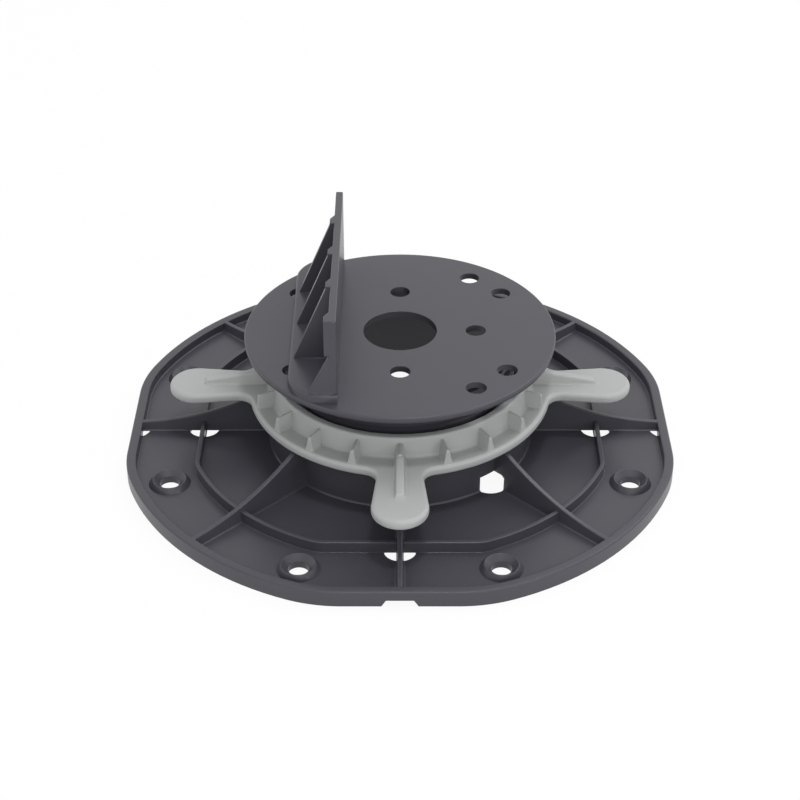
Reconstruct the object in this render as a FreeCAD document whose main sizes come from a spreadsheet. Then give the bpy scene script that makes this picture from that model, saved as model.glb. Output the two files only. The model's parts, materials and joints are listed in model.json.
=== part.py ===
import FreeCAD, Part
import math
import os
import Sketcher

# Adjustable decking pedestal, in millimetres. The origin is on the ground at the middle of the base,
# +Z is up, and the upright of the joist bracket stands on the -X side. Four mouldings: a ribbed base,
# a nut that turns on its hub, a threaded head that the nut lifts, and a bracket that clips on the head.

SIZES = {
    # Base outline: arcs about the middle, cut by four flats, with blended corners
    "base_radius": 100.0,
    "base_cut": 3.6,
    "base_corner": 49.0,
    "rim_height": 5.9,
    "rim_width": 3.4,
    "rim_round": 0.6,
    "floor_thickness": 2.5,
    # Ribs on the floor
    "rib_thickness": 2.2,
    "rib_land": 3.4,
    "rib_curve": 91.0,
    "rib_drop": 0.6,
    "ring_rib_inset": 24.0,
    "ring_rib_cut": 5.1,
    "ring_rib_corner": 12.0,
    "ring_rib_thickness": 1.6,
    "ring_rib_rise": 0.6,
    # Hub
    "hub_height": 19.0,
    "hub_wall": 2.8,
    "snap_step": 14.0,
    "snap_depth": 1.0,
    # Openings in the base
    "drain_radius": 5.45,
    "notch_radius": 6.1,
    "notch_draft": 1.6,
    "weep_radius": 6.1,
    "weep_height": 7.9,
    "weep_lap": 1.3,
    "weep_angle": 46.2,
    # Screw holes with a raised, countersunk ring
    "screw_inset": 13.3,
    "screw_radius": 3.5,
    "screw_seat": 2.6,
    "boss_radius": 7.3,
    "boss_crest": 5.7,
    "boss_rise": 2.0,
    # Adjusting ring
    "ring_play": 0.2,
    "bore_play": 0.3,
    "sleeve_wall": 3.1,
    "sleeve_length": 13.4,
    "bead_height": 2.0,
    "flange_lap": 6.5,
    "flange_thickness": 3.7,
    "flange_round": 1.1,
    "collar_height": 7.4,
    "collar_wall": 5.9,
    "collar_taper": 1.2,
    "mouth_flare": 2.3,
    "mouth_depth": 2.3,
    "web_drop": 1.6,
    "gusset_thickness": 2.0,
    "gusset_inset": 1.2,
    "gusset_height": 4.8,
    "arm_reach": 18.9,
    "arm_tip_radius": 9.5,
    "arm_neck": 7.2,
    "arm_sink": 3.6,
    "arm_blend": 5.0,
    "overlap": 1.0,
    "spine_thickness": 2.2,
    "spine_inset": 2.5,
    "spine_height": 2.0,
    # Head
    "thread_radius": 40.6,
    "thread_play": 0.3,
    "stem_wall": 3.6,
    "stem_length": 29.2,
    "stem_bevel": 1.0,
    "head_gap": 11.7,
    "disc_lip": 13.8,
    "disc_thickness": 2.3,
    "disc_round": 0.5,
    "centre_hole": 12.85,
    "fixing_hole": 3.5,
    "inner_circle": 26.5,
    "outer_inset": 10.0,
    "outer_angle": 10.0,
    # Joist bracket
    "upright_face": 20.6,
    "upright_thickness": 2.5,
    "upright_length": 90.0,
    "upright_height": 31.2,
    "foot_width": 17.0,
    "foot_margin": 1.2,
    "foot_thickness": 3.2,
    "foot_corner": 13.5,
    "foot_round": 1.0,
    "brace_pitch": 22.0,
    "brace_thickness": 2.0,
    "brace_reach": 13.4,
    "brace_land": 1.1,
    "end_brace_reach": 7.2,
    "strip_depth": 1.6,
    "strip_height": 13.5,
    "strip_flat": 3.4,
    "strip_slope": 2.7,
    "peg_play": 0.3,
    "barb_play": 0.2,
    "barb_lip": 0.7,
    "barb_length": 3.5,
    "barb_slit": 1.6,
}

RIB_PAIRS = 4
SCREW_COUNT = 8
ARM_COUNT = 4
GUSSET_COUNT = 20
WHOLE_TURN = 360.0

# Heights above the ground, as expressions on the sheet
FLANGE_BOTTOM = "(Sizes.hub_height + Sizes.ring_play)"
FLANGE_TOP = f"({FLANGE_BOTTOM} + Sizes.flange_thickness)"
COLLAR_TOP = f"({FLANGE_TOP} + Sizes.collar_height)"
DISC_BOTTOM = f"({COLLAR_TOP} + Sizes.head_gap)"
DISC_TOP = f"({DISC_BOTTOM} + Sizes.disc_thickness)"
STEM_BOTTOM = f"({DISC_BOTTOM} - Sizes.stem_length)"
FOOT_TOP = f"({DISC_TOP} + Sizes.foot_thickness)"
UPRIGHT_TOP = f"({DISC_TOP} + Sizes.upright_height)"

# Radii that follow one another outwards from the thread
STEM_BORE = "(Sizes.thread_radius - Sizes.stem_wall)"
NUT_BORE = "(Sizes.thread_radius + Sizes.thread_play)"
MOUTH_RADIUS = f"({NUT_BORE} + Sizes.mouth_flare)"
SLEEVE_OUTER = f"({NUT_BORE} + Sizes.sleeve_wall)"
BEAD_OUTER = f"({SLEEVE_OUTER} + Sizes.snap_depth)"
HUB_BORE = f"({SLEEVE_OUTER} + Sizes.bore_play)"
SNAP_BORE = f"({HUB_BORE} + Sizes.snap_depth)"
HUB_OUTER = f"({HUB_BORE} + Sizes.hub_wall)"
COLLAR_FOOT = f"({NUT_BORE} + Sizes.collar_wall)"
COLLAR_CROWN = f"({COLLAR_FOOT} - Sizes.collar_taper)"
FLANGE_RADIUS = f"({HUB_OUTER} + Sizes.flange_lap)"
GUSSET_END = f"({FLANGE_RADIUS} - Sizes.gusset_inset)"
ARM_ROOT = f"({FLANGE_RADIUS} - Sizes.arm_sink)"
ARM_CIRCLE = f"({FLANGE_RADIUS} + Sizes.arm_reach)"
SPINE_END = f"({ARM_CIRCLE} - Sizes.spine_inset)"
DISC_RADIUS = "(Sizes.thread_radius + Sizes.disc_lip)"
OUTER_CIRCLE = f"({DISC_RADIUS} - Sizes.outer_inset)"
PEG_RADIUS = "(Sizes.fixing_hole - Sizes.peg_play)"

# Distances that follow one another inwards from the base's edge
BASE_FLAT = "(Sizes.base_radius - Sizes.base_cut)"
SCREW_CIRCLE = "(Sizes.base_radius - Sizes.screw_inset)"
RING_RIB_RADIUS = "(Sizes.base_radius - Sizes.ring_rib_inset)"
RING_RIB_FLAT = f"({RING_RIB_RADIUS} - Sizes.ring_rib_cut)"
RIB_LAND = f"({HUB_OUTER} + Sizes.rib_land)"
WEEP_CIRCLE = f"({HUB_OUTER} - Sizes.weep_lap)"


def make_sheet(doc):
    """Put every driving size in its own named cell."""
    sheet = doc.addObject("Spreadsheet::Sheet", "Sizes")
    for row, (alias, size) in enumerate(SIZES.items(), start=1):
        sheet.set(f"A{row}", alias)
        sheet.set(f"B{row}", str(size))
        sheet.setAlias(f"B{row}", alias)
    doc.recompute()
    return sheet


def number(expression):
    """Return what an expression on the sheet comes to."""
    return float(sheet.evalExpression(expression))


def make_body(label):
    """Start a sub-part."""
    body = doc.addObject("PartDesign::Body", label)
    body.Label = label
    body.Placement = FreeCAD.Placement()
    return body


def datum(body, role):
    """Find an origin plane or axis of a sub-part."""
    return next(item for item in body.Origin.OriginFeatures if item.Role == role)


def make_sketch(body, name, plane="XY_Plane", height=None, turn=0.0):
    """Start a sketch on an origin plane, moved along its normal and turned about its upright."""
    sketch = body.newObject("Sketcher::SketchObject", name)
    sketch.AttachmentSupport = [(datum(body, plane), "")]
    sketch.MapMode = "FlatFace"
    if turn:
        upright = FreeCAD.Rotation(FreeCAD.Vector(0, 1, 0), turn)
        sketch.AttachmentOffset = FreeCAD.Placement(FreeCAD.Vector(), upright)
    if height is not None:
        sketch.setExpression("AttachmentOffset.Base.z", height)
    return sketch


def bind(sketch, constraint, expression):
    """Add a constraint whose size follows an expression."""
    index = sketch.addConstraint(constraint)
    sketch.setExpression(f"Constraints[{index}]", expression)


def pin(sketch, geometry, vertex, across, along):
    """Hold a point of a sketch at two expressions."""
    directions = (("DistanceX", across, -2), ("DistanceY", along, -1))
    for kind, expression, axis in directions:
        size = number(expression)
        if size == 0:
            sketch.addConstraint(Sketcher.Constraint("PointOnObject", geometry, vertex, axis))
        elif size > 0:
            bind(sketch, Sketcher.Constraint(kind, -1, 1, geometry, vertex, size), expression)
        else:
            bind(sketch, Sketcher.Constraint(kind, geometry, vertex, -1, 1, -size), f"-({expression})")


def vector(across, along):
    """Return the sketch point at two expressions."""
    return FreeCAD.Vector(number(across), number(along), 0)


def draw_circle(sketch, radius, across="0", along="0"):
    """Add a circle."""
    circle = Part.Circle(vector(across, along), FreeCAD.Vector(0, 0, 1), number(radius))
    index = sketch.addGeometry(circle, False)
    bind(sketch, Sketcher.Constraint("Radius", index, number(radius)), radius)
    pin(sketch, index, 3, across, along)


def draw_polygon(sketch, corners):
    """Add a closed outline of straight lines through corners given as pairs of expressions."""
    points = [vector(across, along) for across, along in corners]
    first = sketch.GeometryCount
    for start, end in zip(points, points[1:] + points[:1]):
        sketch.addGeometry(Part.LineSegment(start, end), False)
    for step, (across, along) in enumerate(corners):
        follower = first + (step + 1) % len(corners)
        sketch.addConstraint(Sketcher.Constraint("Coincident", first + step, 2, follower, 1))
        pin(sketch, first + step, 1, across, along)


def draw_outline(sketch, flat, radius):
    """Add a circle about the middle that four flats cut, with sharp corners."""
    reach = number(flat)
    half = math.sqrt(number(radius) ** 2 - reach ** 2)
    turn_to_corner = math.atan2(half, reach)
    first = sketch.GeometryCount
    for quarter in range(4):
        turn = FreeCAD.Rotation(FreeCAD.Vector(0, 0, 1), 90.0 * quarter)
        start = turn.multVec(FreeCAD.Vector(reach, -half, 0))
        end = turn.multVec(FreeCAD.Vector(reach, half, 0))
        sketch.addGeometry(Part.LineSegment(start, end), False)
        whole = Part.Circle(FreeCAD.Vector(), FreeCAD.Vector(0, 0, 1), number(radius))
        base_angle = math.pi / 2 * quarter
        arc = Part.ArcOfCircle(whole, base_angle + turn_to_corner, base_angle + math.pi / 2 - turn_to_corner)
        sketch.addGeometry(arc, False)
    for quarter in range(4):
        line = first + 2 * quarter
        arc = line + 1
        next_line = first + 2 * ((quarter + 1) % 4)
        upright = quarter % 2 == 0
        sketch.addConstraint(Sketcher.Constraint("Coincident", line, 2, arc, 1))
        sketch.addConstraint(Sketcher.Constraint("Coincident", arc, 2, next_line, 1))
        sketch.addConstraint(Sketcher.Constraint("Coincident", arc, 3, -1, 1))
        sketch.addConstraint(Sketcher.Constraint("Vertical" if upright else "Horizontal", line))
        kind = "DistanceX" if upright else "DistanceY"
        if quarter < 2:
            distance = Sketcher.Constraint(kind, -1, 1, line, 1, reach)
        else:
            distance = Sketcher.Constraint(kind, line, 1, -1, 1, reach)
        bind(sketch, distance, flat)
    bind(sketch, Sketcher.Constraint("Radius", first + 1, number(radius)), radius)
    for quarter in range(1, 4):
        sketch.addConstraint(Sketcher.Constraint("Equal", first + 1, first + 1 + 2 * quarter))


def pad(body, name, sketch, length, both_sides=False):
    """Extrude a sketch into material along its normal, or to both sides of it."""
    feature = body.newObject("PartDesign::Pad", name)
    feature.Profile = sketch
    feature.SideType = "Symmetric" if both_sides else "One side"
    feature.setExpression("Length", length)
    return feature


def pocket(body, name, sketch, length=None, upward=False):
    """Cut a sketch out of the solid, through all of it where no length is given."""
    feature = body.newObject("PartDesign::Pocket", name)
    feature.Profile = sketch
    feature.Reversed = upward
    if length is None:
        feature.Type = "ThroughAll"
    else:
        feature.setExpression("Length", length)
    return feature


def spin(body, name, sketch, kind="PartDesign::Revolution", axis="V_Axis"):
    """Turn a profile about an upright axis of its sketch."""
    feature = body.newObject(kind, name)
    feature.Profile = sketch
    feature.ReferenceAxis = (sketch, [axis])
    feature.Angle = WHOLE_TURN
    return feature


def repeat_round(body, name, features, count):
    """Repeat features about the upright axis of the part."""
    pattern = body.newObject("PartDesign::PolarPattern", name)
    pattern.Originals = features
    pattern.Axis = (datum(body, "Z_Axis"), [""])
    pattern.Angle = WHOLE_TURN
    pattern.Occurrences = count
    body.Tip = pattern
    return pattern


def repeat_along(body, name, features, count, length):
    """Repeat features along +Y."""
    pattern = body.newObject("PartDesign::LinearPattern", name)
    pattern.Originals = features
    pattern.Direction = (datum(body, "Y_Axis"), [""])
    pattern.setExpression("Length", length)
    pattern.Occurrences = count
    body.Tip = pattern
    return pattern


def round_edges(body, name, feature, radius, choose):
    """Round the edges of the latest solid that a test picks."""
    doc.recompute()
    names = [f"Edge{index}" for index, edge in enumerate(feature.Shape.Edges, start=1) if choose(edge)]
    if not names:
        raise ValueError(f"{name} found no edge to round")
    fillet = body.newObject("PartDesign::Fillet", name)
    fillet.Base = (feature, names)
    fillet.setExpression("Radius", radius)
    return fillet


def spread(edge):
    """Return an edge's lowest and highest distance from the upright axis, and its height range."""
    points = edge.discretize(9)
    reaches = [math.hypot(point.x, point.y) for point in points]
    heights = [point.z for point in points]
    return min(reaches), max(reaches), min(heights), max(heights)


def is_upright(edge):
    """Tell whether an edge is a straight line along Z."""
    if not isinstance(edge.Curve, Part.Line):
        return False
    return abs(edge.Curve.Direction.z) > 0.999


def is_level(edge, height):
    """Tell whether an edge lies at one height."""
    low, high = spread(edge)[2:]
    return abs(low - height) < 1e-4 and abs(high - height) < 1e-4


def make_base():
    """Build the ribbed base with its hub, drains and screw holes."""
    body = make_body("base_plate")
    slab = make_sketch(body, "slab_outline")
    draw_outline(slab, BASE_FLAT, "Sizes.base_radius")
    slab_pad = pad(body, "slab", slab, "Sizes.rim_height")
    blended = round_edges(body, "slab_corners", slab_pad, "Sizes.base_corner", is_upright)

    tray = make_sketch(body, "tray_outline", height="Sizes.rim_height")
    inner_radius = "(Sizes.base_radius - Sizes.rim_width)"
    draw_outline(tray, f"{BASE_FLAT} - Sizes.rim_width", inner_radius)
    tray_cut = pocket(body, "tray", tray, "Sizes.rim_height - Sizes.floor_thickness")
    blended_reach = number("Sizes.base_radius - Sizes.rim_width / 2")
    tray_blend = round_edges(
        body, "tray_corners", tray_cut, "Sizes.base_corner - Sizes.rim_width",
        lambda edge: is_upright(edge) and spread(edge)[1] < blended_reach,
    )
    rim_top = number("Sizes.rim_height")
    round_edges(body, "rim_edges", tray_blend, "Sizes.rim_round", lambda edge: is_level(edge, rim_top))

    make_ring_rib(body)
    hub = make_sketch(body, "hub_outline")
    draw_circle(hub, HUB_OUTER)
    pad(body, "hub", hub, "Sizes.hub_height")
    make_radial_ribs(body)

    bore = make_sketch(body, "bore_outline")
    draw_circle(bore, HUB_BORE)
    pocket(body, "bore", bore, upward=True)
    relief = make_sketch(body, "snap_outline")
    draw_circle(relief, SNAP_BORE)
    pocket(body, "snap_relief", relief, "Sizes.snap_step", upward=True)

    make_base_openings(body)
    make_screw_bosses(body)
    return body


def make_ring_rib(body):
    """Add the low rib that runs round the floor, halfway between hub and rim."""
    half = "Sizes.ring_rib_thickness / 2"
    rib = make_sketch(body, "ring_rib_outline", height="Sizes.floor_thickness")
    draw_outline(rib, f"{RING_RIB_FLAT} + {half}", f"{RING_RIB_RADIUS} + {half}")
    draw_outline(rib, f"{RING_RIB_FLAT} - {half}", f"{RING_RIB_RADIUS} - {half}")
    height = "Sizes.rim_height + Sizes.ring_rib_rise - Sizes.floor_thickness"
    ring = pad(body, "ring_rib", rib, height)
    outer = number(f"{RING_RIB_RADIUS} + {half} + Sizes.ring_rib_thickness / 2")
    top = number("Sizes.rim_height + Sizes.ring_rib_rise")
    round_edges(
        body, "ring_rib_corners", ring, "Sizes.ring_rib_corner",
        lambda edge: is_upright(edge) and spread(edge)[1] < outer and abs(spread(edge)[3] - top) < 1e-4,
    )


def make_radial_ribs(body):
    """Add eight ribs that sweep down from the hub to the rim, four to the flats and four to the arcs."""
    shoulder = "(Sizes.hub_height - Sizes.rib_drop)"
    root = f"({HUB_OUTER} - Sizes.hub_wall / 2)"
    reaches = {"flat": BASE_FLAT, "arc": "Sizes.base_radius"}
    for order, (side, reach) in enumerate(reaches.items()):
        turn = order * WHOLE_TURN / RIB_PAIRS / 2
        profile = make_sketch(body, f"{side}_rib_profile", "XZ_Plane", turn=turn)
        draw_rib(profile, root, shoulder, reach)
        rib = pad(body, f"{side}_rib", profile, "Sizes.rib_thickness", both_sides=True)
        repeat_round(body, f"{side}_ribs", [rib], RIB_PAIRS)


def draw_rib(profile, root, shoulder, reach):
    """Add a rib's side view: a level land, a hollow curve down to the rim, and an end inside the rim."""
    rib_foot = f"({reach} - Sizes.rim_width)"
    end = f"({reach} - Sizes.rim_width / 2)"
    corners = [
        vector(root, "Sizes.floor_thickness"),
        vector(end, "Sizes.floor_thickness"),
        vector(end, "Sizes.rim_height"),
        vector(rib_foot, "Sizes.rim_height"),
        vector(RIB_LAND, shoulder),
        vector(root, shoulder),
    ]
    foot, land = corners[3:5]
    curve = number("Sizes.rib_curve")
    half = (land - foot) / 2
    lift = math.sqrt(curve ** 2 - half.Length ** 2) / half.Length
    middle = foot + half + FreeCAD.Vector(half.y, -half.x, 0) * lift
    circle = Part.Circle(middle, FreeCAD.Vector(0, 0, 1), curve)
    angles = [math.atan2(point.y - middle.y, point.x - middle.x) for point in (land, foot)]
    hollow = profile.addGeometry(Part.ArcOfCircle(circle, *angles), False)
    sides = [(0, 1), (1, 2), (2, 3), (4, 5), (5, 0)]
    lines = [profile.addGeometry(Part.LineSegment(corners[a], corners[b]), False) for a, b in sides]
    joints = [(lines[0], 2, lines[1], 1), (lines[1], 2, lines[2], 1), (lines[2], 2, hollow, 2),
              (hollow, 1, lines[3], 1), (lines[3], 2, lines[4], 1), (lines[4], 2, lines[0], 1)]
    for joint in joints:
        profile.addConstraint(Sketcher.Constraint("Coincident", *joint))
    pin(profile, lines[0], 1, root, "Sizes.floor_thickness")
    pin(profile, lines[1], 1, end, "Sizes.floor_thickness")
    profile.addConstraint(Sketcher.Constraint("Vertical", lines[1]))
    profile.addConstraint(Sketcher.Constraint("Horizontal", lines[2]))
    pin(profile, lines[2], 2, rib_foot, "Sizes.rim_height")
    profile.addConstraint(Sketcher.Constraint("Horizontal", lines[3]))
    pin(profile, lines[3], 1, RIB_LAND, shoulder)
    profile.addConstraint(Sketcher.Constraint("Vertical", lines[4]))
    bind(profile, Sketcher.Constraint("Radius", hollow, curve), "Sizes.rib_curve")


def make_base_openings(body):
    """Cut the drains, the notches in the rim and the hole at the foot of the hub."""
    drain = make_sketch(body, "drain_outline")
    draw_circle(drain, "Sizes.drain_radius", RING_RIB_FLAT)
    drain_cut = pocket(body, "drain", drain, "Sizes.floor_thickness", upward=True)
    repeat_round(body, "drains", [drain_cut], RIB_PAIRS)

    notch = body.newObject("PartDesign::SubtractiveCone", "notch")
    notch.setExpression("Radius1", "Sizes.notch_radius")
    notch.setExpression("Radius2", "Sizes.notch_radius - Sizes.notch_draft")
    notch.setExpression("Height", "Sizes.floor_thickness")
    notch.setExpression("Placement.Base.x", BASE_FLAT)
    repeat_round(body, "notches", [notch], RIB_PAIRS)

    weep = make_sketch(body, "weep_outline")
    across = f"{WEEP_CIRCLE} * cos(Sizes.weep_angle * 1 deg)"
    along = f"-{WEEP_CIRCLE} * sin(Sizes.weep_angle * 1 deg)"
    draw_circle(weep, "Sizes.weep_radius", across, along)
    pocket(body, "weep", weep, "Sizes.weep_height", upward=True)


def make_screw_bosses(body):
    """Add the raised rings round the screw holes and countersink them."""
    turn = WHOLE_TURN / SCREW_COUNT / 2
    crest = "(Sizes.floor_thickness + Sizes.boss_rise)"
    ring = make_sketch(body, "boss_profile", "XZ_Plane", turn=turn)
    draw_axis(ring, SCREW_CIRCLE)
    draw_polygon(ring, [
        (SCREW_CIRCLE, "Sizes.floor_thickness / 2"),
        (f"{SCREW_CIRCLE} + Sizes.boss_radius", "Sizes.floor_thickness / 2"),
        (f"{SCREW_CIRCLE} + Sizes.boss_radius", "Sizes.floor_thickness"),
        (f"{SCREW_CIRCLE} + Sizes.boss_crest", crest),
        (SCREW_CIRCLE, crest),
    ])
    boss = spin(body, "boss", ring, axis="Axis0")
    hole = make_sketch(body, "hole_profile", "XZ_Plane", turn=turn)
    draw_axis(hole, SCREW_CIRCLE)
    draw_polygon(hole, [
        (SCREW_CIRCLE, "0"),
        (f"{SCREW_CIRCLE} + Sizes.screw_radius", "0"),
        (f"{SCREW_CIRCLE} + Sizes.screw_radius", "Sizes.screw_seat"),
        (f"{SCREW_CIRCLE} + Sizes.boss_crest", crest),
        (SCREW_CIRCLE, crest),
    ])
    countersink = spin(body, "countersink", hole, "PartDesign::Groove", "Axis0")
    repeat_round(body, "screw_holes", [boss, countersink], SCREW_COUNT)


def draw_axis(sketch, across):
    """Add an upright construction line to turn a profile about."""
    start = vector(across, "0")
    line = sketch.addGeometry(Part.LineSegment(start, start + FreeCAD.Vector(0, 1, 0)), True)
    pin(sketch, line, 1, across, "0")
    sketch.addConstraint(Sketcher.Constraint("Vertical", line))
    sketch.addConstraint(Sketcher.Constraint("DistanceY", line, 1, line, 2, 1.0))


def make_adjusting_ring():
    """Build the nut: sleeve, flange, collar, gussets and finger arms."""
    body = make_body("adjusting_ring")
    profile = make_sketch(body, "ring_profile", "XZ_Plane")
    sleeve_end = f"({FLANGE_BOTTOM} - Sizes.sleeve_length)"
    bead_top = "(Sizes.snap_step - Sizes.ring_play)"
    draw_polygon(profile, [
        (NUT_BORE, sleeve_end),
        (SLEEVE_OUTER, sleeve_end),
        (SLEEVE_OUTER, f"{bead_top} - Sizes.bead_height"),
        (BEAD_OUTER, f"{bead_top} - Sizes.snap_depth"),
        (BEAD_OUTER, bead_top),
        (SLEEVE_OUTER, bead_top),
        (SLEEVE_OUTER, FLANGE_BOTTOM),
        (FLANGE_RADIUS, FLANGE_BOTTOM),
        (FLANGE_RADIUS, FLANGE_TOP),
        (COLLAR_FOOT, FLANGE_TOP),
        (COLLAR_CROWN, COLLAR_TOP),
        (MOUTH_RADIUS, COLLAR_TOP),
        (NUT_BORE, f"{COLLAR_TOP} - Sizes.mouth_depth"),
    ])
    spin(body, "turned_ring", profile)

    outline = make_sketch(body, "arm_outline", height=FLANGE_BOTTOM)
    draw_arm(outline)
    arm = pad(body, "arm", outline, "Sizes.flange_thickness")
    arms = repeat_round(body, "arms", [arm], ARM_COUNT)
    flange = number(FLANGE_RADIUS)
    webbed = round_edges(
        body, "arm_webs", arms, "Sizes.arm_blend",
        lambda edge: is_upright(edge) and abs(spread(edge)[1] - flange) < 0.01,
    )
    top = number(FLANGE_TOP)
    bottom = number(FLANGE_BOTTOM)
    round_edges(
        body, "flange_edges", webbed, "Sizes.flange_round",
        lambda edge: spread(edge)[0] > flange - 0.01 and (is_level(edge, top) or is_level(edge, bottom)),
    )

    spine = make_sketch(body, "spine_profile", "XZ_Plane")
    draw_web(spine, SPINE_END, "Sizes.spine_height")
    spine_pad = pad(body, "spine", spine, "Sizes.spine_thickness", both_sides=True)
    repeat_round(body, "spines", [spine_pad], ARM_COUNT)

    gusset = make_sketch(body, "gusset_profile", "XZ_Plane")
    draw_web(gusset, GUSSET_END, "Sizes.gusset_height")
    gusset_pad = pad(body, "gusset", gusset, "Sizes.gusset_thickness", both_sides=True)
    repeat_round(body, "gussets", [gusset_pad], GUSSET_COUNT)
    return body


def draw_web(sketch, end, height):
    """Add a web's side view: from inside the collar, gently down to a square end on the flange."""
    root = f"({COLLAR_CROWN} - Sizes.overlap)"
    draw_polygon(sketch, [
        (root, f"{FLANGE_TOP} - Sizes.overlap"),
        (end, f"{FLANGE_TOP} - Sizes.overlap"),
        (end, f"{FLANGE_TOP} + {height}"),
        (root, f"{COLLAR_TOP} - Sizes.web_drop"),
    ])


def draw_arm(outline):
    """Add an arm seen from above: a round tip with two straight sides that run in to the flange."""
    middle = number(ARM_CIRCLE)
    tip = number("Sizes.arm_tip_radius")
    root = number(ARM_ROOT)
    neck = number("Sizes.arm_neck")
    slant = math.atan2(neck, middle - root)
    reach = math.hypot(neck, middle - root)
    touch = math.pi - slant - math.acos(tip / reach)
    touch_point = FreeCAD.Vector(middle + tip * math.cos(touch), tip * math.sin(touch), 0)
    mirrored = FreeCAD.Vector(touch_point.x, -touch_point.y, 0)
    circle = Part.Circle(FreeCAD.Vector(middle, 0, 0), FreeCAD.Vector(0, 0, 1), tip)
    arc = outline.addGeometry(Part.ArcOfCircle(circle, -touch, touch), False)
    upper = outline.addGeometry(Part.LineSegment(touch_point, FreeCAD.Vector(root, neck, 0)), False)
    close = outline.addGeometry(
        Part.LineSegment(FreeCAD.Vector(root, neck, 0), FreeCAD.Vector(root, -neck, 0)), False)
    lower = outline.addGeometry(Part.LineSegment(FreeCAD.Vector(root, -neck, 0), mirrored), False)
    outline.addConstraint(Sketcher.Constraint("Tangent", arc, 2, upper, 1))
    outline.addConstraint(Sketcher.Constraint("Coincident", upper, 2, close, 1))
    outline.addConstraint(Sketcher.Constraint("Coincident", close, 2, lower, 1))
    outline.addConstraint(Sketcher.Constraint("Tangent", lower, 2, arc, 1))
    pin(outline, close, 1, ARM_ROOT, "Sizes.arm_neck")
    pin(outline, close, 2, ARM_ROOT, "-Sizes.arm_neck")
    pin(outline, arc, 3, ARM_CIRCLE, "0")
    bind(outline, Sketcher.Constraint("Radius", arc, tip), "Sizes.arm_tip_radius")


def make_head():
    """Build the disc and its stem."""
    body = make_body("head")
    profile = make_sketch(body, "head_profile", "XZ_Plane")
    draw_polygon(profile, [
        (STEM_BORE, STEM_BOTTOM),
        ("Sizes.thread_radius - Sizes.stem_bevel", STEM_BOTTOM),
        ("Sizes.thread_radius", f"{STEM_BOTTOM} + Sizes.stem_bevel"),
        ("Sizes.thread_radius", DISC_BOTTOM),
        (DISC_RADIUS, DISC_BOTTOM),
        (DISC_RADIUS, DISC_TOP),
        ("Sizes.centre_hole", DISC_TOP),
        ("Sizes.centre_hole", DISC_BOTTOM),
        (STEM_BORE, DISC_BOTTOM),
    ])
    turned = spin(body, "turned_head", profile)
    edge_reach = number(DISC_RADIUS) - 0.01
    round_edges(body, "disc_edges", turned, "Sizes.disc_round",
                lambda edge: spread(edge)[0] > edge_reach and not is_upright(edge))
    inner = make_sketch(body, "inner_hole_outline", height=DISC_TOP)
    draw_circle(inner, "Sizes.fixing_hole", "Sizes.inner_circle")
    inner_cut = pocket(body, "inner_hole", inner, "Sizes.disc_thickness")
    repeat_round(body, "inner_holes", [inner_cut], RIB_PAIRS)
    outer = make_sketch(body, "outer_hole_outline", height=DISC_TOP)
    for side in ("-", "+"):
        angle = f"((45 {side} Sizes.outer_angle) * 1 deg)"
        draw_circle(outer, "Sizes.fixing_hole", f"{OUTER_CIRCLE} * cos({angle})",
                    f"{OUTER_CIRCLE} * sin({angle})")
    outer_cut = pocket(body, "outer_hole", outer, "Sizes.disc_thickness")
    repeat_round(body, "outer_holes", [outer_cut], RIB_PAIRS)
    return body


def make_bracket():
    """Build the clip-on upright that a joist is screwed to."""
    body = make_body("joist_bracket")
    left_face = "(-Sizes.upright_face - Sizes.upright_thickness)"
    foot_left = "(-Sizes.upright_face - Sizes.foot_width)"
    foot = make_sketch(body, "foot_outline", height=DISC_TOP)
    draw_box(foot, foot_left, "-Sizes.upright_face", "Sizes.upright_length / 2 + Sizes.foot_margin")
    foot_pad = pad(body, "foot", foot, "Sizes.foot_thickness")
    inside = number("-Sizes.upright_face - Sizes.overlap")
    rounded = round_edges(body, "foot_corners", foot_pad, "Sizes.foot_corner",
                          lambda edge: is_upright(edge) and edge.BoundBox.XMax < inside)
    foot_top = number(FOOT_TOP)
    round_edges(body, "foot_edges", rounded, "Sizes.foot_round",
                lambda edge: is_level(edge, foot_top) and edge.BoundBox.XMin < inside)
    upright = make_sketch(body, "upright_outline", height=DISC_TOP)
    draw_box(upright, left_face, "-Sizes.upright_face", "Sizes.upright_length / 2")
    pad(body, "upright", upright, "Sizes.upright_height")
    make_braces(body, left_face)
    make_pegs(body)
    return body


def draw_box(sketch, left, right, half_length):
    """Add a rectangle that lies evenly about the X axis."""
    draw_polygon(sketch, [
        (left, f"-({half_length})"),
        (right, f"-({half_length})"),
        (right, half_length),
        (left, half_length),
    ])


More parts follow.
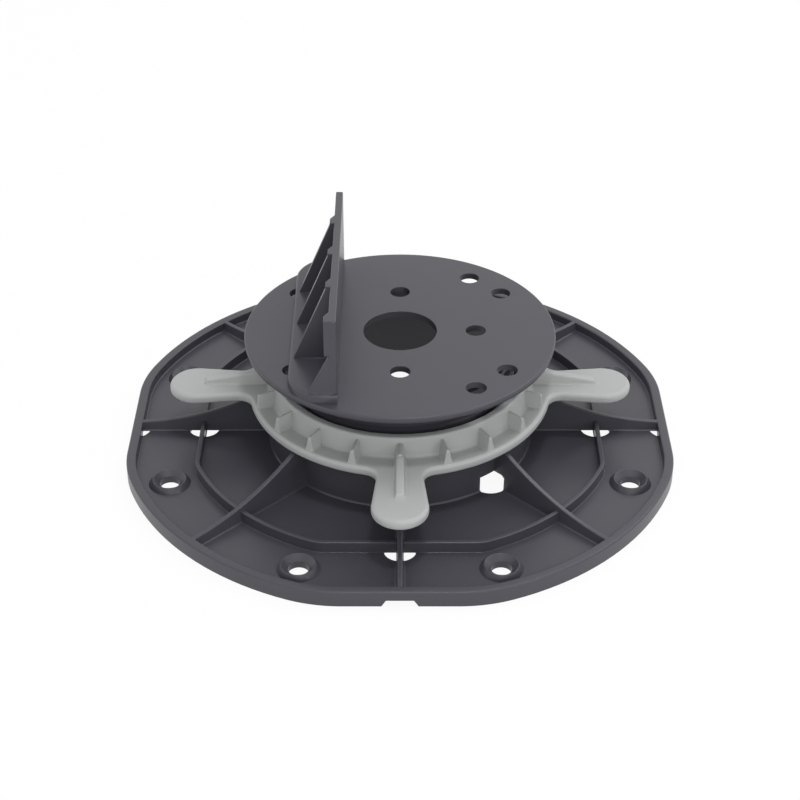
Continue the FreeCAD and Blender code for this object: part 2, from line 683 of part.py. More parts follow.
def make_braces(body, left_face):
    """Add three tall braces, a short one at each end, and the strips that thicken the upright's top."""
    inside = f"({left_face} + Sizes.upright_thickness / 2)"
    strip_face = f"({left_face} - Sizes.strip_depth)"
    tall = make_sketch(body, "brace_profile", "XZ_Plane", height="Sizes.brace_pitch")
    draw_polygon(tall, [
        (inside, DISC_TOP),
        (f"{left_face} - Sizes.brace_reach", DISC_TOP),
        (f"{left_face} - Sizes.brace_reach", f"{FOOT_TOP} - Sizes.foot_round"),
        (strip_face, f"{UPRIGHT_TOP} - Sizes.brace_land"),
        (strip_face, UPRIGHT_TOP),
        (inside, UPRIGHT_TOP),
    ])
    brace = pad(body, "brace", tall, "Sizes.brace_thickness", both_sides=True)
    repeat_along(body, "braces", [brace], 3, "2 * Sizes.brace_pitch")

    end_middle = "(Sizes.upright_length / 2 - Sizes.brace_thickness / 2)"
    short = make_sketch(body, "end_brace_profile", "XZ_Plane", height=end_middle)
    draw_polygon(short, [
        (inside, DISC_TOP),
        (f"{left_face} - Sizes.end_brace_reach", DISC_TOP),
        (f"{left_face} - Sizes.end_brace_reach", FOOT_TOP),
        (left_face, f"{UPRIGHT_TOP} - Sizes.strip_height"),
        (inside, f"{UPRIGHT_TOP} - Sizes.strip_height"),
    ])
    end_brace = pad(body, "end_brace", short, "Sizes.brace_thickness", both_sides=True)
    repeat_along(body, "end_braces", [end_brace], 2, f"2 * {end_middle}")

    strip = make_sketch(body, "strip_outline", height=UPRIGHT_TOP)
    front = "(-Sizes.upright_length / 2)"
    draw_polygon(strip, [
        (inside, front),
        (strip_face, front),
        (strip_face, f"{front} + Sizes.strip_flat"),
        (left_face, f"{front} + Sizes.strip_flat + Sizes.strip_slope"),
        (inside, f"{front} + Sizes.strip_flat + Sizes.strip_slope"),
    ])
    strip_pad = pad(body, "strip", strip, "Sizes.strip_height")
    strip_pad.Reversed = True
    repeat_along(body, "strips", [strip_pad], 4, "3 * Sizes.brace_pitch")


def make_pegs(body):
    """Add the pegs under the foot that sit in the holes of the disc, the middle one barbed and slit."""
    plain = make_sketch(body, "plain_peg_outline", height=DISC_TOP)
    angle = "((45 + Sizes.outer_angle) * 1 deg)"
    for side in ("", "-"):
        draw_circle(plain, PEG_RADIUS, f"-{OUTER_CIRCLE} * cos({angle})",
                    f"{side}{OUTER_CIRCLE} * sin({angle})")
    plain_pad = pad(body, "plain_pegs", plain, "Sizes.disc_thickness")
    plain_pad.Reversed = True

    profile = make_sketch(body, "barb_profile", "XZ_Plane")
    middle = "-Sizes.inner_circle"
    lip = f"({DISC_BOTTOM} - Sizes.barb_play)"
    tip = f"({lip} - Sizes.barb_length)"
    draw_axis(profile, middle)
    draw_polygon(profile, [
        (middle, DISC_TOP),
        (f"{middle} + {PEG_RADIUS}", DISC_TOP),
        (f"{middle} + {PEG_RADIUS}", lip),
        (f"{middle} + {PEG_RADIUS} + Sizes.barb_lip", lip),
        (f"{middle} + {PEG_RADIUS} - Sizes.barb_lip", tip),
        (middle, tip),
    ])
    spin(body, "barbed_peg", profile, axis="Axis0")
    slit = make_sketch(body, "slit_outline", height=DISC_TOP)
    draw_slit(slit, middle)
    pocket(body, "barb_slit", slit)


def draw_slit(sketch, middle):
    """Add the narrow rectangle that splits the barbed peg."""
    reach = f"({PEG_RADIUS} + Sizes.barb_lip)"
    draw_polygon(sketch, [
        (f"{middle} - {reach}", "-Sizes.barb_slit / 2"),
        (f"{middle} + {reach}", "-Sizes.barb_slit / 2"),
        (f"{middle} + {reach}", "Sizes.barb_slit / 2"),
        (f"{middle} - {reach}", "Sizes.barb_slit / 2"),
    ])


def check_and_export(bodies):
    """Refuse a failed model, then write each sub-part to its own file."""
    doc.recompute()
    for item in doc.Objects:
        if "Invalid" in item.State or "Error" in item.State:
            raise RuntimeError(f"{item.Name} did not build: {item.State}")
    for body in bodies:
        if body.Shape.isNull() or not body.Shape.isValid():
            raise RuntimeError(f"{body.Label} has no valid shape")
    os.makedirs("parts", exist_ok=True)
    for body in bodies:
        body.Shape.exportStep(f"parts/{body.Label}.step")
        print(body.Label, len(body.Shape.Solids), round(body.Shape.Volume), body.Shape.BoundBox)


doc = FreeCAD.newDocument("decking_pedestal")
sheet = make_sheet(doc)
sub_parts = [make_base(), make_adjusting_ring(), make_head(), make_bracket()]
check_and_export(sub_parts)
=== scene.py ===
"""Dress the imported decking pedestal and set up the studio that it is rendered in.

Every piece is built in millimetres from the sizes that its class holds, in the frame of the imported
model: the ground at z = 0, the thread's axis at x = y = 0, the bracket's upright on the -X side.
"""

import json
import logging
import math
from collections.abc import Iterable, Sequence
from dataclasses import dataclass, field
from enum import Enum

import bmesh
import bpy
from mathutils import Euler, Matrix, Vector
from mathutils.geometry import tessellate_polygon

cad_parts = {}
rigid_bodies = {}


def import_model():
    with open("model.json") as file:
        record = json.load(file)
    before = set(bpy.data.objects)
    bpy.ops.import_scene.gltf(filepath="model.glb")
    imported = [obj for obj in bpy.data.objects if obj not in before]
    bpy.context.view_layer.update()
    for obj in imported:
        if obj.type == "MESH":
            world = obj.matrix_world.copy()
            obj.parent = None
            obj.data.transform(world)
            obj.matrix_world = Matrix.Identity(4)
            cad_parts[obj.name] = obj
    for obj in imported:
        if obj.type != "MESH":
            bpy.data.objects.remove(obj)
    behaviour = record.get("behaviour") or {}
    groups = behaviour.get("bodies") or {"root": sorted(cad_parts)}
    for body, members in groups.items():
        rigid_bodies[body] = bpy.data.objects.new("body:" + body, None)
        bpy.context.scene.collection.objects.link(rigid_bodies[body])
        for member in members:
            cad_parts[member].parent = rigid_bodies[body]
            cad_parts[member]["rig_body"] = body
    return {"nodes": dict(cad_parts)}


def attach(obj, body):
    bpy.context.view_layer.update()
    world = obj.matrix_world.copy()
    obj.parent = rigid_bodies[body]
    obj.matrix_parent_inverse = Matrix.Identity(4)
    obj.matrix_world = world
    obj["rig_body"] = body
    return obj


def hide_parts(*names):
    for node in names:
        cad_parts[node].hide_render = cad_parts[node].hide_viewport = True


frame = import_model()

MM = 0.001
WHOLE_TURN = 2.0 * math.pi
QUARTER_TURN = WHOLE_TURN / 4.0
UP = Vector((0.0, 0.0, 1.0))
MIDDLE = Vector((0.0, 0.0))
IN_PLACE = Matrix.Identity(4)
EDGE_STEPS = 3  # chords in the quarter turn of a small rounding
THREAD_STEPS = 96  # chords in a turn of a thread
OVERCUT = 1.0  # how far below the ground a plug starts, in millimetres
WELD = 1e-5  # distance at which two corners are one
SLIVER = 1e-6  # length at which an edge is none
WHITE = (1.0, 1.0, 1.0, 1.0)
log = logging.getLogger("decking_pedestal")

Loop = list[Vector]
Path = list[tuple[float, float]]


class Finish(Enum):
    """The record's material slots."""

    DARK = "dark_plastic"
    LIGHT = "light_plastic"


# Outlines


@dataclass(frozen=True)
class Corner:
    """A corner of an outline and the radius that rounds it."""

    x: float
    y: float
    radius: float = 0.0


@dataclass(frozen=True)
class Station:
    """A cross-section of a rib: its place, its crest's height and width, and its foot's flare."""

    x: float
    top: float
    width: float
    flare: float


def polar(radius: float, angle: float) -> Vector:
    """Return the point at a radius and an angle in radians."""
    return radius * Vector((math.cos(angle), math.sin(angle)))


def quarter_turn(steps: int) -> list[float]:
    """Return the angles that cut a quarter turn into steps, both ends included."""
    return [QUARTER_TURN * step / steps for step in range(steps + 1)]


def arc(centre: Vector, radius: float, start: float, end: float, steps: int) -> Loop:
    """Return points along an arc, both ends included.

    Args:
        centre: middle of the arc.
        radius: its radius.
        start: angle of the first point, in radians.
        end: angle of the last point.
        steps: how many chords it is cut into.

    Returns:
        The points, steps + 1 of them.
    """
    return [centre + polar(radius, start + (end - start) * step / steps) for step in range(steps + 1)]


def circle(radius: float, centre: Vector = MIDDLE, steps: int = 48) -> Loop:
    """Return a circle, counter-clockwise."""
    return arc(centre, radius, 0.0, WHOLE_TURN, steps)[:-1]


def hole(radius: float, centre: Vector = MIDDLE, steps: int = 48) -> Loop:
    """Return a circle, clockwise, for the edge of a hole."""
    return circle(radius, centre, steps)[::-1]


def rounded(corners: Sequence[Corner], steps: int = 4) -> Loop:
    """Return a closed outline with its corners rounded.

    Args:
        corners: the sharp corners in order.
        steps: chords for a rounding of a quarter turn.

    Returns:
        The outline's points, in the same order.
    """
    points = [Vector((corner.x, corner.y)) for corner in corners]
    outline = []
    for index, corner in enumerate(corners):
        here = points[index]
        if corner.radius == 0.0:
            outline.append(here)
            continue
        back = (points[index - 1] - here).normalized()
        ahead = (points[(index + 1) % len(points)] - here).normalized()
        half = back.angle(ahead) / 2.0
        centre = here + (back + ahead).normalized() * corner.radius / math.sin(half)
        first = here + back * corner.radius / math.tan(half) - centre
        last = here + ahead * corner.radius / math.tan(half) - centre
        start = math.atan2(first.y, first.x)
        sweep = (math.atan2(last.y, last.x) - start + math.pi) % WHOLE_TURN - math.pi
        chords = max(2, math.ceil(abs(sweep) / QUARTER_TURN * steps))
        outline += arc(centre, corner.radius, start, start + sweep, chords)
    return outline


def squared(eighth: Loop) -> Loop:
    """Complete an outline that has the symmetry of a square.

    Args:
        eighth: its points from the +X side to the diagonal. The first one may lie on the X axis.

    Returns:
        The whole outline, counter-clockwise.
    """
    first = 1 if eighth[0].y == 0.0 else 0
    side = eighth + [Vector((point.y, point.x)) for point in reversed(eighth[first:-1])]
    outline = []
    for order in range(4):
        turn = Matrix.Rotation(order * QUARTER_TURN, 2)
        outline += [turn @ point for point in side]
    return outline


def squared_circle(flat: float, radius: float, corner: float, steps: int = 10) -> Loop:
    """Return a circle that four flats cut, with blended corners.

    Args:
        flat: distance of each flat from the middle.
        radius: radius of the arcs about the middle.
        corner: radius of the blend between a flat and an arc.
        steps: chords in each blend and in each half arc.

    Returns:
        The outline, counter-clockwise.
    """
    centre = Vector((flat - corner, math.sqrt((radius - corner) ** 2 - (flat - corner) ** 2)))
    turn = math.atan2(centre.y, centre.x)
    blend = arc(centre, corner, 0.0, turn, steps)
    return squared(blend + arc(MIDDLE, radius, turn, QUARTER_TURN / 2.0, steps)[1:])


def inset(loop: Loop, amount: float) -> Loop:
    """Move an outline into the material, which lies on its left.

    Args:
        loop: the outline.
        amount: how far it moves. A negative amount moves it outwards.

    Returns:
        The moved outline, with as many points.
    """
    moved = []
    for index, here in enumerate(loop):
        into = (here - loop[index - 1]).normalized()
        out = (loop[(index + 1) % len(loop)] - here).normalized()
        first, second = Vector((-into.y, into.x)), Vector((-out.y, out.x))
        moved.append(here + (first + second) * amount / (1.0 + first.dot(second)))
    return moved


def fillet_path(radius: float, level: float) -> Path:
    """Return the path of the fillet at the foot of a wall.

    Args:
        radius: radius of the fillet.
        level: height of the floor that the wall stands on.

    Returns:
        Pairs of inset and height, from the floor up. The inset is negative.
    """
    turns = quarter_turn(EDGE_STEPS)
    return [(-radius * (1.0 - math.sin(turn)), level + radius * (1.0 - math.cos(turn))) for turn in turns]


def edge_path(bottom: float, top: float, under: float, over: float, steps: int = EDGE_STEPS) -> Path:
    """Return the path of a straight wall with its two edges rounded.

    Args:
        bottom: height of the wall's foot.
        top: height of its top.
        under: radius of the lower edge.
        over: radius of the upper edge.
        steps: chords in each rounding.

    Returns:
        Pairs of inset and height, from the bottom up.
    """
    path = []
    for radius, level, way in ((under, bottom, 1.0), (over, top, -1.0)):
        turns = quarter_turn(steps) if radius else [0.0]
        ring = [(radius * (1.0 - math.sin(turn)), level + way * radius * (1.0 - math.cos(turn))) for turn in turns]
        path += ring if way > 0.0 else ring[::-1]
    return path


# Solids


def bands(count: int, rings: int, first: int = 0, closed: bool = False) -> list[Sequence[int]]:
    """Return the faces between neighbouring rings of corners.

    Args:
        count: corners in a ring.
        rings: how many rings there are.
        first: index of the first corner.
        closed: whether the last ring meets the first one.

    Returns:
        The faces, as indices of their four corners.
    """
    faces: list[Sequence[int]] = []
    for ring in range(rings if closed else rings - 1):
        here, there = first + ring * count, first + (ring + 1) % rings * count
        for index in range(count):
            after = (index + 1) % count
            faces.append((here + index, here + after, there + after, there + index))
    return faces


class Solid:
    """A closed shape that grows by adding closed bodies to it, in millimetres."""

    def __init__(self) -> None:
        """Start with nothing."""
        self.sheet = bmesh.new()

    def add_faces(self, points: Iterable[Vector], faces: Iterable[Sequence[int]], place: Matrix) -> None:
        """Add one closed body.

        Args:
            points: its corners.
            faces: its faces, as indices of the corners.
            place: where it goes.
        """
        body = bmesh.new()
        corners = [body.verts.new(place @ Vector(point)) for point in points]
        for face in faces:
            body.faces.new([corners[index] for index in face])
        bmesh.ops.remove_doubles(body, verts=body.verts, dist=WELD)
        bmesh.ops.dissolve_degenerate(body, edges=body.edges, dist=SLIVER)
        bmesh.ops.recalc_face_normals(body, faces=body.faces)
        mesh = bpy.data.meshes.new("body")
        body.to_mesh(mesh)
        body.free()
        self.sheet.from_mesh(mesh)
        bpy.data.meshes.remove(mesh)

    def add_walls(self, walls: Sequence[tuple[Loop, Path]], place: Matrix = IN_PLACE) -> None:
        """Add a plate: an outline and its holes, each with a wall of its own, between two caps.

        Args:
            walls: each outline with its path of inset and height. The first is the outer one,
                counter-clockwise, and the others are holes, clockwise.
            place: where the plate goes.
        """
        points: list[Vector] = []
        faces: list[Sequence[int]] = []
        caps: tuple[list[Loop], list[Loop]] = ([], [])
        places: tuple[list[int], list[int]] = ([], [])
        for loop, path in walls:
            count = len(loop)
            first = len(points)
            for depth, height in path:
                points += [point.to_3d() + height * UP for point in inset(loop, depth)]
            faces += bands(count, len(path), first)
            for side, start in enumerate((first, first + (len(path) - 1) * count)):
                caps[side].append(points[start:start + count])
                places[side].extend(range(start, start + count))
        for side in (0, 1):
            for triangle in tessellate_polygon(caps[side]):
                faces.append([places[side][index] for index in triangle])
        self.add_faces(points, faces, place)

    def add_turned(self, profile: Loop, steps: int = 144, place: Matrix = IN_PLACE) -> None:
        """Add a body that is turned about the upright axis.

        Args:
            profile: its closed section, as pairs of radius and height.
            steps: how many chords a turn has.
            place: where the body goes.
        """
        points: list[Vector] = []
        for step in range(steps):
            way = polar(1.0, WHOLE_TURN * step / steps)
            points += [Vector((way.x * radius, way.y * radius, height)) for radius, height in profile]
        self.add_faces(points, bands(len(profile), steps, closed=True), place)

    def add_rib(
        self,
        stations: Sequence[Station],
        width: float,
        foot: float,
        crest: float,
        place: Matrix = IN_PLACE,
    ) -> None:
        """Add a rib that stands along X, with drafted sides, a flared foot and a rounded crest.

        Args:
            stations: the cross-sections along the rib.
            width: its thickness at the foot.
            foot: height that it stands on.
            crest: radius that rounds its two upper edges.
            place: where the rib goes.
        """
        points: list[Vector] = []
        for station in stations:
            room = (station.top - foot) / 2.0
            low = fillet_path(min(station.flare, room), foot)
            high = edge_path(foot, station.top, 0.0, min(crest, room))[1:]
            side = [(width / 2.0 - depth, height) for depth, height in low]
            side += [(station.width / 2.0 - depth, height) for depth, height in high]
            points += [Vector((station.x, -y, z)) for y, z in side]
            points += [Vector((station.x, y, z)) for y, z in reversed(side)]
        count = len(points) // len(stations)
        faces = bands(count, len(stations))
        for start in (0, (len(stations) - 1) * count):
            for triangle in tessellate_polygon([points[start:start + count]]):
                faces.append([start + index for index in triangle])
        self.add_faces(points, faces, place)

    def add_mesh(self, mesh: bpy.types.Mesh) -> None:
        """Add a mesh that another solid or a node tree gave."""
        self.sheet.from_mesh(mesh)

    def mesh(self, name: str) -> bpy.types.Mesh:
        """End the solid.

        Args:
            name: what the mesh is called.

        Returns:
            What was added, as a mesh.
        """
        mesh = bpy.data.meshes.new(name)
        self.sheet.to_mesh(mesh)
        self.sheet.free()
        return mesh


def without(mesh: bpy.types.Mesh, *plugs: bpy.types.Mesh) -> bpy.types.Mesh:
    """Cut plugs out of a mesh.

    Args:
        mesh: the closed mesh that is cut.
        plugs: the closed meshes that are taken away.

    Returns:
        What is left, as a new mesh.
    """
    whole = bpy.data.objects.new("whole", mesh)
    bpy.context.scene.collection.objects.link(whole)
    holders = []
    for plug in plugs:
        holder = bpy.data.objects.new("plug", plug)
        bpy.context.scene.collection.objects.link(holder)
        modifier = whole.modifiers.new("cut", "BOOLEAN")
        modifier.operation = "DIFFERENCE"
        modifier.solver = "EXACT"
        modifier.object = holder
        holders.append(holder)
    graph = bpy.context.evaluated_depsgraph_get()
    left = bpy.data.meshes.new_from_object(whole.evaluated_get(graph))
    for item in (whole, *holders):
        bpy.data.objects.remove(item)
    return left


# Node trees


class Nodes:
    """A node tree of any kind, built node by node."""

    def __init__(self, tree: bpy.types.NodeTree) -> None:
        """Take up a tree."""
        self.tree = tree

    def feed(self, socket: bpy.types.NodeSocket, source: object) -> None:
        """Feed a socket.

        Args:
            socket: the node's socket.
            source: an output socket that is linked to it, or a plain value.
        """
        if isinstance(source, bpy.types.NodeSocket):
            self.tree.links.new(source, socket)
        else:
            socket.default_value = source

    def add(self, kind: str, inputs: dict[str | int, object] | None = None, **settings: object) -> bpy.types.Node:
        """Add a node.

        Args:
            kind: the node's type.
            inputs: what feeds its sockets, by their names or places.
            settings: the node's own settings.

        Returns:
            The node.
        """
        node = self.tree.nodes.new(kind)
        for setting, choice in settings.items():
            setattr(node, setting, choice)
        for key, source in (inputs or {}).items():
            self.feed(node.inputs[key], source)
        return node

    def maths(self, operation: str, first: object, second: object) -> bpy.types.NodeSocket:
        """Add a sum on two sockets or numbers, such as ADD, and return the socket of its outcome."""
        return self.add("ShaderNodeMath", {0: first, 1: second}, operation=operation).outputs["Value"]

    def spread(self, source: bpy.types.NodeSocket, low: float, high: float) -> bpy.types.NodeSocket:
        """Map what runs from 0 to 1 to a range from low to high, and return the socket of the outcome."""
        inputs = {"Value": source, "To Min": low, "To Max": high}
        return self.add("ShaderNodeMapRange", inputs).outputs["Result"]

    def ray_test(self) -> bpy.types.NodeSocket:
        """Tell the rays that show the background from those that light the object.

        Returns:
            The socket that is 1 for camera, glossy and transmission rays, and 0 for the others.
        """
        rays = self.add("ShaderNodeLightPath").outputs
        seen = self.maths("MAXIMUM", rays["Is Camera Ray"], rays["Is Glossy Ray"])
        return self.maths("MAXIMUM", seen, rays["Is Transmission Ray"])


class Tree(Nodes):
    """A Geometry Nodes tree with named inputs, the last of which is the material of its outcome."""

    def __init__(self, name: str, inputs: dict[str, str]) -> None:
        """Start a tree.

        Args:
            name: what the tree is called.
            inputs: the socket kind of each named input, such as Float, Int or Object.
        """
        super().__init__(bpy.data.node_groups.new(name, "GeometryNodeTree"))
        self.source = self.tree.nodes.new("NodeGroupInput")
        self.sink = self.tree.nodes.new("NodeGroupOutput")
        self.tree.interface.new_socket("Geometry", in_out="OUTPUT", socket_type="NodeSocketGeometry")
        for label, kind in {**inputs, "Material": "Material"}.items():
            self.tree.interface.new_socket(label, in_out="INPUT", socket_type=f"NodeSocket{kind}")

    def __getitem__(self, name: str) -> bpy.types.NodeSocket:
        """Return the socket that brings a named input."""
        return self.source.outputs[name]

    def end(self, geometry: bpy.types.NodeSocket) -> None:
        """Realize the instances, give them the material input and end the tree.

        Args:
            geometry: the socket that gives the finished geometry.
        """
        whole = self.add("GeometryNodeRealizeInstances", {"Geometry": geometry}).outputs["Geometry"]
        dressed = self.add("GeometryNodeSetMaterial", {"Geometry": whole, "Material": self["Material"]})
        self.feed(self.sink.inputs["Geometry"], dressed.outputs["Geometry"])

    def run(self, values: dict[str, object]) -> bpy.types.Mesh:
        """Evaluate the tree.

        Args:
            values: the value of each named input.

        Returns:
            The outcome as a plain mesh.
        """
        holder = bpy.data.objects.new(self.tree.name, bpy.data.meshes.new(self.tree.name))
        bpy.context.scene.collection.objects.link(holder)
        modifier = holder.modifiers.new("nodes", "NODES")
        modifier.node_group = self.tree
        for item in self.tree.interface.items_tree:
            if item.in_out == "INPUT":
                modifier[item.identifier] = values[item.name]
        graph = bpy.context.evaluated_depsgraph_get()
        mesh = bpy.data.meshes.new_from_object(holder.evaluated_get(graph))
        bpy.data.objects.remove(holder)
        return mesh


def end_with_copies(tree: Tree, places: bpy.types.NodeSocket, turn: object = (0.0, 0.0, 0.0)) -> Tree:
    """End a tree with copies of its template.

    Args:
        tree: the tree, which has the input Template.
        places: the points where the copies go.
        turn: the rotation of the copies.

    Returns:
        The tree.
    """
    template = tree.add("GeometryNodeObjectInfo", {"Object": tree["Template"]}).outputs["Geometry"]
    inputs = {"Points": places, "Instance": template, "Rotation": turn}
    tree.end(tree.add("GeometryNodeInstanceOnPoints", inputs).outputs["Instances"])
    return tree


def round_pattern() -> Tree:
    """Make the tree that repeats a template about the upright axis.

    Returns:
        The tree, with the inputs Template, Count and Start.
    """
    tree = Tree("round_pattern", {"Template": "Object", "Count": "Int", "Start": "Float"})
    points = tree.add("GeometryNodePoints", {"Count": tree["Count"], "Position": (0.0, 0.0, 0.0)})
    order = tree.add("GeometryNodeInputIndex").outputs["Index"]
    step = tree.maths("DIVIDE", WHOLE_TURN, tree["Count"])
    angle = tree.maths("ADD", tree.maths("MULTIPLY", order, step), tree["Start"])
    turn = tree.add("FunctionNodeAxisAngleToRotation", {"Axis": UP, "Angle": angle})
    return end_with_copies(tree, points.outputs[0], turn.outputs["Rotation"])


def row_pattern() -> Tree:
    """Make the tree that repeats a template along Y.

    Returns:
        The tree, with the inputs Template, Count and Pitch.
    """
    tree = Tree("row_pattern", {"Template": "Object", "Count": "Int", "Pitch": "Float"})
    step = tree.add("ShaderNodeCombineXYZ", {"Y": tree["Pitch"]}).outputs["Vector"]
    row = tree.add("GeometryNodeMeshLine", {"Count": tree["Count"], "Offset": step})
    return end_with_copies(tree, row.outputs["Mesh"])


def thread_ridge() -> Tree:
    """Make the tree that sweeps a thread's tapered ridge along its right-handed helix.

    Returns:
        The tree. Depth is how far the ridge stands out, Inner Width and Outer Width are its widths
        on the side of the axis and away from it.
    """
    names = ("Pitch", "Turns", "Start", "Radius", "Depth", "Inner Width", "Outer Width")
    tree = Tree("thread_ridge", dict.fromkeys(names, "Float"))
    helix = tree.add("GeometryNodeCurveSpiral", {
        "Resolution": THREAD_STEPS,
        "Rotations": tree["Turns"],
        "Start Radius": tree["Radius"],
        "End Radius": tree["Radius"],
        "Height": tree.maths("MULTIPLY", tree["Pitch"], tree["Turns"]),
        "Reverse": True,
    }).outputs["Curve"]
    lift = tree.add("ShaderNodeCombineXYZ", {"Z": tree["Start"]}).outputs["Vector"]
    lifted = tree.add("GeometryNodeTransform", {"Geometry": helix, "Translation": lift}).outputs["Geometry"]
    upright = tree.add("GeometryNodeSetCurveNormal", {"Curve": lifted}, mode="Z_UP").outputs["Curve"]
    widths = {"Bottom Width": tree["Inner Width"], "Top Width": tree["Outer Width"], "Offset": 0.0}
    section = tree.add(
        "GeometryNodeCurvePrimitiveQuadrilateral", {"Height": tree["Depth"], **widths}, mode="TRAPEZOID"
    ).outputs["Curve"]
    turn = (0.0, 0.0, -QUARTER_TURN)
    outward = tree.add("GeometryNodeTransform", {"Geometry": section, "Rotation": turn}).outputs["Geometry"]
    swept = tree.add("GeometryNodeCurveToMesh", {"Curve": upright, "Profile Curve": outward, "Fill Caps": True})
    tree.end(swept.outputs["Mesh"])
    return tree


# Finishes


@dataclass(frozen=True)
class MouldedPlastic:
    """A satin injection-moulded plastic with a fine grain and faint cloudy variation."""

    finish: Finish
    colour: tuple[float, float, float]
    roughness: float
    roughness_play: float = 0.05
    gloss_level: float = 0.4
    grain_mm: float = 0.35
    grain_detail: float = 2.0
    grain_depth_mm: float = 0.006
    cloud_mm: float = 22.0
    cloud_detail: float = 3.0
    cloud_strength: float = 0.05

    def build(self) -> bpy.types.Material:
        """Make the node material.

        Returns:
            The material, named after its slot.
        """
        material = bpy.data.materials.new(self.finish.value)
        material.use_nodes = True
        nodes = Nodes(material.node_tree)
        place = nodes.add("ShaderNodeTexCoord").outputs["Object"]
        clouds, grain = [
            nodes.add("ShaderNodeTexNoise", {"Vector": place, "Scale": 1.0 / (size * MM), "Detail": detail})
            for size, detail in ((self.cloud_mm, self.cloud_detail), (self.grain_mm, self.grain_detail))
        ]
        tone = nodes.spread(clouds.outputs["Fac"], 1.0 - self.cloud_strength, 1.0 + self.cloud_strength)
        colours = {"Factor": 1.0, "A": (*self.colour, 1.0), "B": tone}
        tint = nodes.add("ShaderNodeMix", colours, data_type="RGBA", blend_type="MULTIPLY")
        low, high = self.roughness - self.roughness_play, self.roughness + self.roughness_play
        relief = {"Height": grain.outputs["Fac"], "Distance": self.grain_depth_mm * MM}
        shader = material.node_tree.nodes["Principled BSDF"]
        for name, source in (
            ("Base Color", tint.outputs["Result"]),
            ("Roughness", nodes.spread(grain.outputs["Fac"], low, high)),
            ("Specular IOR Level", self.gloss_level),
            ("Normal", nodes.add("ShaderNodeBump", relief).outputs["Normal"]),
        ):
            nodes.feed(shader.inputs[name], source)
        return material


# Sub-assemblies


@dataclass(frozen=True)
class Thread:
    """Sizes of a thread: its two ends, its ridge's radii and widths at root and crest, and its pitch."""

    bottom: float
    top: float
    root: float
    crest: float
    root_width: float
    crest_width: float
    pitch: float = 5.0


@dataclass
class Workshop:
    """What every piece needs to be finished: the materials and the repeating trees."""

    materials: dict[Finish, bpy.types.Material]
    round_tree: Tree = field(default_factory=round_pattern)
    row_tree: Tree = field(default_factory=row_pattern)
    thread_tree: Tree = field(default_factory=thread_ridge)
    smooth_deg: float = 40.0

    def repeat(self, tree: Tree, solid: Solid, finish: Finish, values: dict[str, object]) -> bpy.types.Mesh:
        """Repeat a solid with one of the trees.

        Args:
            tree: the tree that repeats it.
            solid: the solid, which ends here.
            finish: the slot whose material the copies take.
            values: the tree's other inputs.

        Returns:
            All copies as one mesh.
        """
        template = bpy.data.objects.new("template", solid.mesh("template"))
        copies = tree.run({"Template": template, "Material": self.materials[finish], **values})
        bpy.data.objects.remove(template)
        return copies

    def around(self, solid: Solid, count: int, start: float, finish: Finish) -> bpy.types.Mesh:
        """Repeat a solid about the upright axis, with the first copy turned by the start angle."""
        return self.repeat(self.round_tree, solid, finish, {"Count": count, "Start": start})

    def along(self, solid: Solid, count: int, pitch: float, finish: Finish) -> bpy.types.Mesh:
        """Repeat a solid along Y."""
        return self.repeat(self.row_tree, solid, finish, {"Count": count, "Pitch": pitch})

    def thread(self, thread: Thread, finish: Finish) -> bpy.types.Mesh:
        """Make a thread's ridge.

        Args:
            thread: its sizes.
            finish: the slot whose material it takes.

        Returns:
            The ridge.
        """
        widths = thread.root_width, thread.crest_width
        inner, outer = widths if thread.crest > thread.root else widths[::-1]
        return self.thread_tree.run({
            "Pitch": thread.pitch,
            "Turns": (thread.top - thread.bottom) / thread.pitch,
            "Start": thread.bottom,
            "Radius": (thread.root + thread.crest) / 2.0,
            "Depth": abs(thread.crest - thread.root),
            "Inner Width": inner,
            "Outer Width": outer,
            "Material": self.materials[finish],
        })

    def finish_piece(self, solid: Solid, node: str, finish: Finish) -> bpy.types.Object:
        """Turn a solid into the piece that stands for a CAD node.

        Args:
            solid: the whole piece in millimetres, which ends here.
            node: the CAD node that it stands for.
            finish: its material slot.

        Returns:
            The piece, riding on the node's body.
        """
        mesh = solid.mesh(f"{node}_moulding")
        mesh.transform(Matrix.Scale(MM, 4))
        mesh.shade_smooth()
        mesh.set_sharp_from_angle(angle=math.radians(self.smooth_deg))
        piece = bpy.data.objects.new(mesh.name, mesh)
        bpy.context.scene.collection.objects.link(piece)
        weights = piece.modifiers.new("normals", "WEIGHTED_NORMAL")
        weights.keep_sharp = True
        graph = bpy.context.evaluated_depsgraph_get()
        piece.data = bpy.data.meshes.new_from_object(piece.evaluated_get(graph))
        piece.modifiers.clear()
        piece.data.materials.clear()
        piece.data.materials.append(self.materials[finish])
        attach(piece, frame["nodes"][node]["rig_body"])
        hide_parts(node)
        log.info("%s: %d faces", piece.name, len(piece.data.polygons))
        return piece


